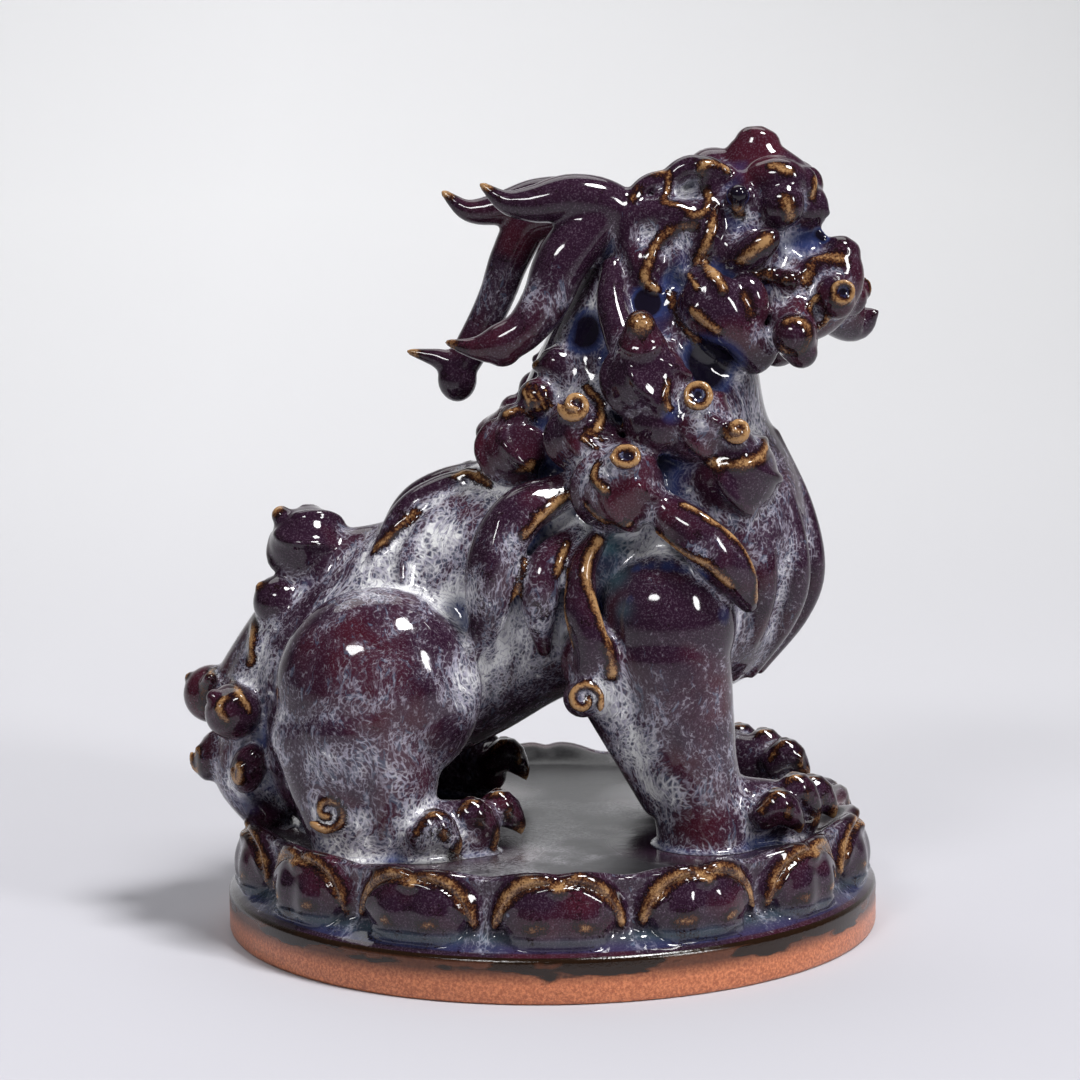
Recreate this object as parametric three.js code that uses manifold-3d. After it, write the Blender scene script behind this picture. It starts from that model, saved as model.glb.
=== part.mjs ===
// A seated mythical beast on a round lotus plinth, in glazed stoneware.
// Millimetres, +Z up. The beast looks along +X and its right flank faces -Y.
// The origin is the middle of the plinth's underside.
import * as THREE from "three";
import { mergeVertices } from "three/addons/utils/BufferGeometryUtils.js";
import Module from "manifold-3d";

const wasm = await Module();
wasm.setup();

// Driving dimensions of the plinth.
const FOOT_R = 90;
const FOOT_H = 12;
const BODY_R = 79.5;
const TOP_Z = 27;
const PETALS = 14;
const FIRST_PETAL = THREE.MathUtils.degToRad(-89.2);
const PETAL_FOOT_Z = 16.6;
const PETAL_BELLY_Z = 22.6;
const PETAL_NECK_Z = 26.6;
const PETAL_TIP_Z = 30.5;
const PETAL_SWELL = 5;
const PETAL_LEAN = 3.6;
const BORDER = 2.2;
const GAP_DEPTH = 2.6;
const CROWN_NOTCH = 1.2;

// Places across a petal, as shares of its half width: the border and the cushion's edge.
const BORDER_SHARE = 0.72;
const CUSHION_SHARE = 0.86;

// Driving dimensions of the beast, which stands a little forward of the plinth's middle.
const BEAST_FORWARD = 1;
const HEAD_AT = [40, 0, 180];
const HEAD_TURN = THREE.MathUtils.degToRad(18);
const HAUNCH = { at: [-47.5, -31, 69], radii: [27, 21, 27.5] };
const SHOULDER = { at: [31, -31, 87], radii: [19, 17, 19] };
const SIDES = [1, -1];

// A closed geometry as a solid that can be joined and cut.
function solid(geometry) {
  const bare = geometry.clone();
  bare.deleteAttribute("normal");
  bare.deleteAttribute("uv");
  const merged = mergeVertices(bare, 1e-4);
  const index = merged.index.array;
  const kept = [];
  for (let i = 0; i < index.length; i += 3) {
    const [a, b, c] = [index[i], index[i + 1], index[i + 2]];
    if (a !== b && b !== c && a !== c) kept.push(a, b, c);
  }
  const mesh = new wasm.Mesh({
    numProp: 3,
    vertProperties: merged.attributes.position.array,
    triVerts: new Uint32Array(kept),
  });
  return new wasm.Manifold(mesh);
}

// Facets round a form of this radius: small forms get few.
function facets(radius) {
  if (radius < 3) return 4;
  if (radius < 6.6) return 5;
  if (radius < 9.7) return 6;
  if (radius < 17) return 7;
  return radius < 22 ? 8 : 10;
}

// How far the corners of a many-sided form stand out, so that it holds as much as the round one.
function cornerReach(sides) {
  return Math.sqrt((2 * Math.PI) / (sides * Math.sin((2 * Math.PI) / sides)));
}

// An ellipsoid with its radii along X, Y and Z, then turned by degrees about X, Y and Z.
function blob([x, y, z], radii, turn = [0, 0, 0]) {
  const round = facets(Math.cbrt(radii[0] * radii[1] * radii[2]));
  const rows = round < 6 ? 3 : Math.max(4, Math.round(round * 0.6));
  const geometry = new THREE.SphereGeometry(cornerReach(2 * rows), round, rows);
  geometry.rotateX(Math.PI / 2).scale(...radii);
  const angles = turn.map(THREE.MathUtils.degToRad);
  geometry.rotateX(angles[0]).rotateY(angles[1]).rotateZ(angles[2]);
  return solid(geometry.translate(x, y, z));
}

// A round-ended form along a smooth curve. Its radius runs through the list of radii,
// and wide stretches its section across the direction that it faces.
function limb(points, radii, { wide = 1, face = [0, -1, 0], rows } = {}) {
  const curve = new THREE.CatmullRomCurve3(
    points.map((p) => new THREE.Vector3(...p)),
    false,
    "catmullrom",
    0.5,
  );
  const thickest = Math.max(...radii);
  const along = rows ?? Math.max(2, Math.round(curve.getLength() / (2 * thickest)));
  const caps = thickest < 20 ? 1 : 2;
  const sides = facets(thickest);
  const tube = new THREE.CapsuleGeometry(1, 1, caps, sides, along);
  const place = tube.attributes.position;
  const outward = new THREE.Vector3(...face).normalize();
  for (let i = 0; i < place.count; i++) {
    const t = THREE.MathUtils.clamp(place.getY(i) + 0.5, 0, 1);
    const past = place.getY(i) + 0.5 - t;
    const step = t * (radii.length - 1);
    const low = Math.min(Math.floor(step), radii.length - 2);
    const radius = THREE.MathUtils.lerp(radii[low], radii[low + 1], step - low);
    const out = radius * cornerReach(sides);
    const ahead = curve.getTangent(t);
    const across = new THREE.Vector3().crossVectors(ahead, outward).normalize();
    const up = new THREE.Vector3().crossVectors(across, ahead);
    const at = curve.getPoint(t).addScaledVector(ahead, past * radius);
    at.addScaledVector(across, -place.getX(i) * out * wide);
    at.addScaledVector(up, -place.getZ(i) * out);
    place.setXYZ(i, at.x, at.y, at.z);
  }
  return solid(tube);
}

// The same form on the beast's right side (-Y) and on its left side.
function pair(make) {
  return SIDES.map((side) => make(([x, y, z]) => [x, y * side, z], side));
}

// A curl of the coat: an onion-shaped body that rises to a round knob. One that stands
// free is also round below.
function curl(body, radius, knob, knobRadius, free = false) {
  const [from, to] = [new THREE.Vector3(...body), new THREE.Vector3(...knob)];
  const rise = from.distanceTo(to);
  const profile = [
    [0, -radius],
    ...(free ? [[radius * 0.8, -radius * 0.6]] : []),
    [radius, -radius * 0.1],
    [Math.max(radius * 0.76, knobRadius), radius * 0.68],
    [knobRadius, rise - knobRadius * 0.3],
    [knobRadius * 0.6, rise + knobRadius * 0.8],
    [0, rise + knobRadius],
  ];
  const sides = facets(radius);
  const onion = new THREE.LatheGeometry(
    profile.map(([r, h]) => new THREE.Vector2(r * cornerReach(sides), h)),
    sides,
  );
  const up = new THREE.Vector3(0, 1, 0);
  const turn = new THREE.Quaternion().setFromUnitVectors(up, to.clone().sub(from).normalize());
  return solid(onion.applyQuaternion(turn).translate(...body));
}

// A point of the head, whose own frame looks along its turned forward direction.
function headPoint([x, y, z]) {
  const [c, s] = [Math.cos(HEAD_TURN), Math.sin(HEAD_TURN)];
  return [HEAD_AT[0] + x * c + y * s, HEAD_AT[1] - x * s + y * c, HEAD_AT[2] + z];
}

// The bare foot ring, and above it a ring of lotus petals round the flat top. Each petal is
// a swelling cushion under a raised border, and its crown is slightly notched.
function plinth() {
  const acrossPetal = [-1, -BORDER_SHARE, 0, BORDER_SHARE];
  const swell = (share) => PETAL_SWELL * Math.sqrt(Math.max(0, 1 - (share / CUSHION_SHARE) ** 2));
  const border = (share) => (Math.abs(share) === BORDER_SHARE ? BORDER : 0);
  const crown = (share) => (share === 0 ? BORDER - 0.4 : border(share));
  const drop = (share) => (share === 0 ? CROWN_NOTCH : 0);
  const tipZ = (share) => PETAL_TIP_Z - (share === -1 ? GAP_DEPTH : drop(share));
  const section = (share) => [
    [0, 0],
    [FOOT_R, 0],
    [FOOT_R, FOOT_H - 0.6],
    [BODY_R + 1.5 + swell(share), PETAL_FOOT_Z],
    [BODY_R + swell(share), PETAL_BELLY_Z],
    [BODY_R + 1.5 * border(share), PETAL_NECK_Z],
    [BODY_R + PETAL_LEAN + crown(share), tipZ(share) - 1],
    [BODY_R - 0.5, tipZ(share)],
    [BODY_R - 4, TOP_Z],
    [0, TOP_Z],
  ];
  const pitch = (2 * Math.PI) / PETALS;
  const columns = Array.from({ length: PETALS }, (_, petal) =>
    acrossPetal.map((share) => ({ share, angle: FIRST_PETAL + (petal + share / 2) * pitch })),
  ).flat();
  const rows = section(0).length;
  const lathe = new THREE.LatheGeometry(
    section(0).map(([r, z]) => new THREE.Vector2(r, z)),
    columns.length,
  );
  const place = lathe.attributes.position;
  for (let i = 0; i < place.count; i++) {
    const { share, angle } = columns[Math.floor(i / rows) % columns.length];
    const [radius, z] = section(share)[i % rows];
    place.setXYZ(i, radius * Math.cos(angle), radius * Math.sin(angle), z);
  }
  return solid(lathe);
}

// The smooth masses that everything else sits on.
function trunk() {
  const spine = [[-54, 0, 67], [-30, 0, 82], [-6, 0, 95.5], [30, 0, 103]];
  const chest = [[37.5, 0, 91], [41, 0, 110], [35, 0, 134], [33, 0, 156]];
  return [
    limb(spine, [29, 30, 31, 32], { rows: 3, wide: 1.08 }),
    limb(chest, [29, 30.4, 25.4, 22], { rows: 3, face: [1, 0, 0], wide: 1.15 }),
    blob([-58, 0, 55], [23, 37, 32]),
  ];
}

// Soft upright pleats down the breast.
function pleats() {
  const made = [];
  for (const degrees of [-60, -36, -12, 12, 36, 60]) {
    const angle = THREE.MathUtils.degToRad(degrees);
    const at = (radius, z) => [40 + radius * Math.cos(angle), radius * Math.sin(angle), z];
    const line = [at(19.5, 134), at(27.6, 115), at(30, 97), at(24.4, 77)];
    made.push(limb(line, [3, 4.2, 4.4, 3.2], { rows: 2, face: [Math.cos(angle), Math.sin(angle), 0] }));
  }
  return made;
}

// The four legs.
function legs() {
  return pair((at) => [
    blob(at(HAUNCH.at), HAUNCH.radii),
    limb([at([-46, -34, 62]), at([-40, -36, 45]), at([-38, -37, 28])], [20, 16.6, 14.4]),
    limb([at([-62, -33, 54]), at([-59, -37, 28])], [13.5, 9], { rows: 1 }),
    blob(at([-59.5, -43.5, 40]), [5.4, 4, 5.8]),
    blob(at(SHOULDER.at), SHOULDER.radii),
    limb([at([29, -30, 76]), at([33.5, -31, 55]), at([38, -31, 40]), at([40.5, -31, 29])],
      [15.8, 14.6, 12.6, 13.4]),
    limb([at([14.4, -31, 77]), at([29.6, -31, 41])], [11.8, 6.6], { rows: 1 }),
  ]).flat();
}

// A paw: a low pad, and toes that swell to a knuckle and end in a downturned claw.
// A toe is placed by its knuckle.
function paw(pad, toes) {
  const claws = toes.map(([x, y, z]) => {
    const line = [[x - 4, y, z - 3], [x, y, z - 0.6], [x + 5.4, y * 0.97, z - 8]];
    return limb(line, [4.2, 4.5, 0.9], { rows: 2 });
  });
  return [limb(pad, [8.4, 6.6], { wide: 1.2, rows: 1 }), ...claws];
}

function paws() {
  return [
    ...paw([[-34, -38, 33], [-21, -36, 33]], [[-31, -45, 38.5], [-21, -38.5, 38.5], [-14.5, -30, 38.5]]),
    ...paw([[-34, 38, 33], [-20, 34, 35]], [[-30, 44, 40], [-20.5, 37, 42], [-13.5, 29, 41]]),
    ...paw([[50, -31, 35], [65.5, -25, 34]], [[60, -38.5, 40], [65.5, -30, 42.5], [71, -21, 40]]),
    ...paw([[48, 32, 36], [63, 27, 35.5]], [[55, 38, 43.5], [61.5, 30, 43.5], [67, 22, 42]]),
  ];
}

// The upright tail, a fan of curls against the rump.
function tail() {
  return [
    limb([[-60, 0, 97], [-69, 0, 80], [-77, 0, 61], [-78.5, 0, 45]], [10.6, 13.6, 15.6, 13.5]),
    curl([-67, 0, 105], 10.6, [-73.8, 0, 112.6], 2.7, true),
    curl([-74.8, -5, 90], 7.6, [-79.4, -6, 94], 2.2),
    curl([-74, 9, 87], 7, [-79, 11, 90], 2.2),
    limb([[-73, 2, 90], [-81, 3, 76], [-88, 5, 66]], [6, 7.5, 7], { wide: 1.3, face: [-1, 0, 0.5] }),
    curl([-95, 7, 62.5], 8, [-101.8, 8, 67], 2.3),
    curl([-87.5, -15, 61.5], 7.8, [-92, -18, 66], 2.4),
    curl([-80, 21, 66], 7.4, [-85, 24, 69], 2.4),
    blob([-94.5, -2, 47], [5, 7.6, 7.6], [0, 20, 0]),
    blob([-83.5, -17, 46], [5, 6, 7], [0, 15, 0]),
    blob([-83.5, 17, 46], [5, 6, 7], [0, 15, 0]),
    limb([[-85, 0, 53], [-87, 0, 42], [-80, 0, 31]], [8.4, 7.8, 7],
      { wide: 1.9, face: [-1, 0, 0], rows: 2 }),
  ];
}

// Locks that lie on the flanks, from the withers and the shoulder, each side alike.
function bodyLocks() {
  return pair((at) => {
    const flank = [[3, -27, 122], [-8, -31, 117], [-14.5, -33, 107], [-17.5, -34, 94], [-19, -32, 80]];
    const ribs = [[6, -29, 110], [-1, -33, 104], [-3.5, -35, 94], [-2.5, -35, 83]];
    const elbow = [[12, -34, 110], [8, -38, 103], [7.3, -40, 93], [9.5, -41, 83], [9, -39, 71]];
    const breast = [[27, -36, 119], [38, -41, 111], [46, -41, 102], [51.5, -37, 92.5]];
    const back = [[-18, -8, 124], [-30, -10, 120], [-39.5, -12, 114], [-48, -16, 102]];
    const points = (list) => list.map(at);
    return [
      limb(points(flank), [5, 6, 6.2, 5.6, 3], { rows: 4 }),
      limb(points(ribs), [3.4, 4.6, 4.6, 2.6], { rows: 3 }),
      limb(points(elbow), [2.6, 3.4, 3.8, 3.8, 3.6], { rows: 4 }),
      blob(at([7.6, -40, 68.6]), [4.8, 4.4, 4.8]),
      limb(points(breast), [5, 6.6, 6, 2.6], { rows: 3 }),
      limb(points(back), [3.6, 4.8, 4.6, 2.4], { rows: 3 }),
    ];
  }).flat();
}

// Curls of the mane down the neck, each side alike.
function mane() {
  const curls = [
    { body: [25, -30, 151], radius: 10, knob: [23.6, -37, 166], knobRadius: 3.4 },
    { body: [38.4, -30, 140], radius: 9, knob: [38.1, -38, 148], knobRadius: 3.4 },
    { body: [48, -25, 126], radius: 11.8, knob: [48.6, -35, 138], knobRadius: 3.2 },
    { body: [17.5, -34, 124], radius: 11.5, knob: [19, -44, 132.6], knobRadius: 3.4 },
    { body: [8, -27, 137], radius: 8.4, knob: [6.4, -34.5, 145], knobRadius: 3.6 },
    { body: [-8.8, -15, 132], radius: 9.6, knob: [-9.8, -18, 140.4], knobRadius: 3.8 },
  ];
  const side = pair((at) => [
    ...curls.map((c) => curl(at(c.body), c.radius, at(c.knob), c.knobRadius)),
    blob(at([-4, -18, 146.5]), [5.4, 5.4, 5.4]),
    limb([at([7.5, -15, 149]), at([2, -15, 154.6])], [7.6, 5.6], { rows: 1 }),
    limb([at([17, -18, 181]), at([16.5, -22, 172]), at([19, -28, 161])], [2.8, 4, 4.6]),
  ]).flat();
  return [
    ...side,
    limb([[28.5, 0, 181], [21, 0, 160], [12.5, 0, 136]], [18, 20.4, 23], { face: [1, 0, 0], wide: 1.15 }),
    limb([[4, 0, 143], [-5, 0, 133]], [9, 10.6], { rows: 1 }),
  ];
}

// Two pairs of free locks behind the head. The near pair and the far pair differ a little.
function freeLocks() {
  const nearUpper = [[27, -10, 187], [17, -14, 196.5], [6.5, -16, 199.3], [-3.5, -17, 197.8],
    [-11, -17, 198.4], [-17.5, -17, 203]];
  const nearLower = [[12, -14, 193], [3.6, -17, 182.4], [-0.8, -18, 172.4], [-6.7, -19, 164.5],
    [-14, -19, 160.6], [-20.5, -18, 159.8], [-27.5, -17, 161.4]];
  const farUpper = [[22, 8, 190], [10, 12, 198], [-2, 14, 199.4], [-13, 15, 196.6],
    [-22, 15, 196.2], [-29, 15, 201.4]];
  const farLower = [[4, 12, 195], [-5, 15, 192], [-10.4, 16, 183], [-14.4, 17, 172.5], [-19.6, 18, 162],
    [-25, 18, 153.5], [-32, 18, 155.4], [-39.4, 18, 157.2]];
  return [
    limb(nearUpper, [6, 6, 5.6, 4.5, 3, 0.9], { rows: 6 }),
    limb(nearLower, [7.2, 6.7, 5.9, 5.2, 5, 2.9, 0.9], { rows: 8 }),
    blob([-12.6, -19, 159.8], [5.4, 5, 5.2]),
    limb(farUpper, [6, 5.6, 4.9, 4, 2.9, 0.9], { rows: 6 }),
    limb(farLower, [6.4, 6.2, 5.7, 5.1, 4.8, 4.8, 2.6, 0.9], { rows: 9 }),
    blob([-25.8, 18, 149.4], [5.6, 5.2, 6.6]),
  ];
}

// The head, made in its own frame and then turned. Each cheek carries the same carving.
function head() {
  const at = headPoint;
  const turn = -THREE.MathUtils.radToDeg(HEAD_TURN);
  const ball = (place, radii, tip = 0) => blob(at(place), radii, [0, tip, turn]);
  const bar = (points, radii, options) => limb(points.map(at), radii, options);
  const middle = [
    ball([2, 0, 6], [20.4, 18.6, 18.6]),
    bar([[-14.5, 0, 8], [-9.5, 0, 16.4], [0, 0, 20.6]], [7.4, 7.8, 7.4], { wide: 1.4, face: [-1, 0, 1] }),
    bar([[12, 0, 12], [22, 0, 15.5], [31, 0, 16]], [14.4, 12, 6], { wide: 1.15 }),
    ball([18.2, 0, 29.6], [7.2, 6.6, 8.4]),
    bar([[30, 0, 18], [33.5, 0, 17], [37, 0, 13.8]], [6, 4, 0.8], { rows: 2 }),
    ball([5.5, 0, 27], [7.2, 8, 5.4]),
    bar([[24, 0, 1], [35, 0, 6]], [6, 3.4], { rows: 1, wide: 1.4 }),
    bar([[14, 0, -6], [30, 0, -7.4], [38, 0, -3.4], [40.4, 0, 4]], [12.6, 11, 7.6, 4.6], { wide: 1.2 }),
  ];
  const cheeks = SIDES.flatMap((s) => {
    const side = ([x, y, z]) => [x, y * s, z];
    const carved = (points, radii, options) => bar(points.map(side), radii, options);
    return [
      ball(side([13, -8.5, 3]), [13, 9, 11]),
      ball(side([22, -5, 23.4]), [8.4, 6, 6]),
      ball(side([26, -8.5, 17]), [6, 4.6, 6.4]),
      ball(side([31, -3.4, 21.6]), [4, 3.6, 5.4]),
      ball(side([16.2, -14.4, 19.2]), [3, 2.8, 3]),
      ball(side([20.8, -16.5, 5]), [6.6, 3, 4], -35),
      ball(side([19.2, -17, -8.5]), [5.4, 4, 7], -15),
      ball(side([40.6, -8, -8]), [5.4, 5, 6], -20),
      carved([[10, -9, 25], [2, -12, 27], [-4, -13.5, 22], [-3, -15, 16.5], [6, -15, 14.5]],
        [2.8, 3.4, 3.4, 3.2, 2.6], { rows: 4 }),
      carved([[4, -15, 14.5], [-6, -17, 13.5], [-12.5, -19, 6], [-12, -20, -4]], [3.6, 4.6, 4.4, 3],
        { wide: 1.2, rows: 3 }),
      carved([[2, -21, -2], [9.3, -22, -8], [15, -20, -16], [21, -14, -23]], [4.6, 6.4, 6.2, 4.4],
        { wide: 1.3, rows: 3 }),
    ];
  });
  const beard = [
    bar([[28, -8, -12], [32, -16, -19.4]], [7, 5.6], { rows: 1, face: [0, 0, 1] }),
    bar([[33, 8, -9], [40, 20, -15.4], [46.4, 20, -13]], [7, 6, 1], { rows: 2, face: [0, 0, 1] }),
  ];
  return [...middle, ...cheeks, ...beard];
}

function build() {
  const forms = [
    ...trunk(),
    ...pleats(),
    ...legs(),
    ...paws(),
    ...tail(),
    ...bodyLocks(),
    ...mane(),
    ...freeLocks(),
    ...head(),
  ];
  const beast = forms.reduce((joined, form) => joined.add(form));
  const whole = beast.translate([BEAST_FORWARD, 0, 0]).add(plinth());
  const { vertProperties, triVerts } = whole.getMesh();
  return new THREE.BufferGeometry()
    .setAttribute("position", new THREE.BufferAttribute(vertProperties, 3))
    .setIndex(new THREE.BufferAttribute(triVerts, 1));
}

const glaze = new THREE.MeshStandardMaterial({
  name: "flambe_glaze",
  color: "#3a2233",
  roughness: 0.12,
  metalness: 0,
});
const statue = new THREE.Mesh(build(), glaze);
statue.name = "beast_on_lotus_plinth";

const part = new THREE.Group();
part.add(statue);

export default part;
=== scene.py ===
"""A glazed stoneware beast seated on a lotus plinth, on a pale floor in soft studio light."""
from math import ceil, cos, pi, radians, sin, tau

import bmesh
import bpy
import numpy as np
from mathutils import Euler, Matrix, Vector
from mathutils.bvhtree import BVHTree
from mathutils.kdtree import KDTree


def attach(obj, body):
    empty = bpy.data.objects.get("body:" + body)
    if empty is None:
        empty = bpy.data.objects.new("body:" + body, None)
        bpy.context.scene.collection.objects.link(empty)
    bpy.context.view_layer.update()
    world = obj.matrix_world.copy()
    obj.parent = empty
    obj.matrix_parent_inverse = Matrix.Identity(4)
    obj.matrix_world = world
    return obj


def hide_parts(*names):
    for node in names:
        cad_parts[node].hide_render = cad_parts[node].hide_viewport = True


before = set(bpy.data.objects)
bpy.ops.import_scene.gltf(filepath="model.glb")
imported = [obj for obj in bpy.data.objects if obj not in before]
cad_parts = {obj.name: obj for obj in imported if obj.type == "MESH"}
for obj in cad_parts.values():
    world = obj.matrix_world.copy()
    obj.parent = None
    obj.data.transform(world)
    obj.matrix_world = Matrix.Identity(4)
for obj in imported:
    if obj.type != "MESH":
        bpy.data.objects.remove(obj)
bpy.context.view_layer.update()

# All shapes are made in millimetres and scaled to metres once they are whole.
MM = 0.001
NODE = "beast_on_lotus_plinth"
# The beast is shaped about its own middle and then set this far forward on the plinth.
BEAST_FORWARD = 1.0

# The camera: where the eye is, how far it looks down and leans over, its lens and its sensor.
EYE = Vector((-2.2, -760.0, 198.7))
LOOK_DOWN = 6.98
ROLL = 0.75
LENS = 92.47
SENSOR = 36

# The head's own frame looks along +x, with +y to its left, turned about Z at this point.
HEAD_AT = Vector((40, 0, 180))
HEAD_TURN = radians(18)

# The size of a cell when all the clay is joined, how many triangles the beast keeps, and in how
# many steps its creases fill.
FINE_CELL = 0.62
CELL = FINE_CELL
BEAST_TRIANGLES = 196000
FILL_STEPS = 15
SMOOTH_STEPS = 3

# How many times the skin is averaged to find its hollows, and then the hollows, for fine cells.
NEAR_HOLLOWS = (24, 4)
WIDE_HOLLOWS = (220, 20)
# How much the milk takes from a hollow's blue and painted shade, how dark an eye is, and how fast that fades
# with distance.
MILK_OVER_BLUE_AND_SHADE = 1.6
EYE_DARK = 9
EYE_FADE = 2

# A curl smaller than this stays plain.
SMALL_CURL = 8.5

# The round slab of the plinth's top that is joined to the feet, and how thick it is.
SLAB = (76, 76, 14)
SLAB_THICK = 5

# The plinth.
FOOT_R = 89.98
FOOT_H = 12.0
BODY_R = 82.4
TOP_Z = 27.0
PETALS = 14
FIRST_PETAL = radians(-89.2)
TIP_Z = 32.3
GAP_DEPTH = 2.2
CROWN_NOTCH = 0.7


# Clay: forms that are joined later, the marks where the glaze runs thin and shows amber, and the eyes.
clay = []
thin_marks = []
eyes = []
round_forms = {}


def round_form(kind, **size):
    """The corners and faces of a ball, made once for each kind and fineness."""
    key = (kind, *size.values())
    if key not in round_forms:
        body = bmesh.new()
        getattr(bmesh.ops, kind)(body, radius=1, **size)
        body.verts.index_update()
        corners = np.array([v.co for v in body.verts])
        round_forms[key] = corners, [[v.index for v in face.verts] for face in body.faces]
        body.free()
    return round_forms[key]


def smooth_curve(values, t):
    """Points at t, from 0 to 1, on the smooth curve through the values."""
    values = np.asarray(values, float).reshape(len(values), -1)
    padded = np.vstack([2 * values[0] - values[1], values, 2 * values[-1] - values[-2]])
    place = np.clip(t, 0, 1) * (len(values) - 1)
    low = np.minimum(place.astype(int), len(values) - 2)
    f = (place - low)[:, None]
    a, b, c, d = (padded[low + k] for k in range(4))
    return 0.5 * (2 * b + (c - a) * f + (2 * a - 5 * b + 4 * c - d) * f**2 + (3 * b - a - 3 * c + d) * f**3)


def ball(at, radii, turn=(0, 0, 0)):
    """An ellipsoid with its radii along X, Y and Z, then turned by degrees."""
    corners, faces = round_form("create_icosphere", subdivisions=3 if max(radii) < 8 else 4)
    spin = np.array(Euler([radians(a) for a in turn]).to_matrix())
    clay.append(((corners * radii) @ spin.T + np.array(at), faces))


def limb(points, radii, wide=1.0, face=(0, -1, 0), at=None):
    """A round-ended form along the smooth curve through the points. wide stretches its section
    across the direction that it faces, and at moves the points to their side."""
    fine = np.linspace(0, 1, 81)
    line = smooth_curve([at(p) for p in points] if at else points, fine)
    reach = np.r_[0, np.cumsum(np.linalg.norm(np.diff(line, axis=0), axis=1))]
    width = np.maximum(smooth_curve(radii, fine)[:, 0], 0.3)
    length, first, last = reach[-1], width[0], width[-1]
    rows = 4 * int(np.clip((length + first + last) / 4.8, 3, 18))
    sides = 16 if max(radii) < 4 else 24 if max(radii) < 12 else 44
    corners, faces = round_form("create_uvsphere", u_segments=sides, v_segments=rows)
    along = np.arccos(np.clip(corners[:, 2], -1, 1)) / pi * (length + first + last) - first
    inside = np.clip(along, 0, length)
    t = np.interp(inside, reach, fine)
    past = along - inside
    radius = np.interp(t, fine, width)
    radius = np.sqrt(np.maximum(radius**2 - past**2, 0))
    ahead = np.gradient(line, axis=0)
    ahead = np.column_stack([np.interp(t, fine, ahead[:, k]) for k in range(3)])
    ahead /= np.linalg.norm(ahead, axis=1)[:, None]
    across = np.cross(ahead, np.asarray(face, float))
    across /= np.maximum(np.linalg.norm(across, axis=1), 1e-6)[:, None]
    up = np.cross(across, ahead)
    round_at = corners[:, :2] / np.maximum(np.linalg.norm(corners[:, :2], axis=1), 1e-9)[:, None]
    middle = np.column_stack([np.interp(t, fine, line[:, k]) for k in range(3)]) + ahead * past[:, None]
    place = middle + across * (round_at[:, :1] * radius[:, None] * wide)
    place += up * (round_at[:, 1:] * radius[:, None])
    clay.append((place, faces))


def joined_clay():
    """All the forms so far as one list of corners and one of faces."""
    starts = np.cumsum([0] + [len(corners) for corners, _ in clay])
    faces = [[k + start for k in face] for (_, some), start in zip(clay, starts) for face in some]
    return np.vstack([corners for corners, _ in clay]), faces


def thin(points, reach, at=None):
    """Marks the smooth line through the points as thinly glazed, as far as reach from it."""
    points = np.asarray([at(p) for p in points] if at else points, float)
    length = np.linalg.norm(np.diff(points, axis=0), axis=1).sum() if len(points) > 1 else 0
    line = smooth_curve(points, np.linspace(0, 1, max(2, ceil(length / 0.6)))) if length else points
    thin_marks.extend((*p, reach) for p in line)


def same(p):
    """A place on the beast's right side, as it is."""
    return Vector(p)


def flip(p):
    """The same place on the beast's left side."""
    return Vector((p[0], -p[1], p[2]))


def head(p):
    """A place of the head, from its own frame to the beast's."""
    c, s = cos(HEAD_TURN), sin(HEAD_TURN)
    return HEAD_AT + Vector((p[0] * c + p[1] * s, -p[0] * s + p[1] * c, p[2]))


def head_local(p):
    """A place of the beast's frame in the head's own frame."""
    c, s = cos(HEAD_TURN), sin(HEAD_TURN)
    x, y, z = Vector(p) - HEAD_AT
    return Vector((x * c - y * s, x * s + y * c, z))


def head_flip(p):
    """A place of the beast's frame, mirrored to the other cheek."""
    return head(flip(head_local(p)))


SIDES = (same, flip)
CHEEKS = (same, head_flip)


# The smooth masses of the body.
def trunk():
    spine = [(-54, 0, 67), (-30, 0, 82), (-6, 0, 95.5), (30, 0, 103)]
    chest = [(37.5, 0, 91), (41, 0, 110), (35, 0, 134), (33, 0, 156)]
    limb(spine, [29, 31, 32, 32], wide=1.08)
    limb(chest, [28.6, 30, 25.4, 23.4], wide=1.15, face=(1, 0, 0))
    ball((-58, 0, 55), (23, 37, 32))
    limb([(-62, 0, 97), (-50, 0, 99), (-38, 0, 101)], [10.5, 9.5, 10], wide=1.2)
    pleat = ((20.8, 134), (29, 115), (32.2, 98), (28.4, 85), (17, 70))
    for degrees in (-60, -36, -12, 12, 36, 60):
        a = radians(degrees)
        line = [(40 + r * cos(a), r * sin(a), z) for r, z in pleat]
        limb(line, [2.6, 3.2, 3.4, 2.8, 2.2], wide=1.25, face=(cos(a), sin(a), 0))


def legs():
    for at in SIDES:
        ball(at((-46.6, -32, 70)), (27.6, 21, 27.5))
        limb([(-47, -34, 62), (-45.5, -37, 45), (-45, -38, 28)], [19.5, 14.6, 10.8], at=at)
        limb([(-61, -33, 58), (-55.6, -38.5, 28)], [14.6, 8.6], at=at)
        limb([(-53, -36, 60), (-50.4, -39, 30)], [17, 10], at=at)
        ball(at((-58.6, -42.5, 40)), (5.8, 4.6, 6))
        ball(at((30.5, -30.5, 87)), (18.4, 16.6, 19.6))
        limb([(30, -30, 78), (33.5, -31, 55), (38, -31, 40), (40.5, -31, 29)], [17.4, 15, 12.6, 13.4], at=at)
        limb([(14.4, -31, 77), (29.6, -31, 41)], [12.6, 7.6], at=at)


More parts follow.
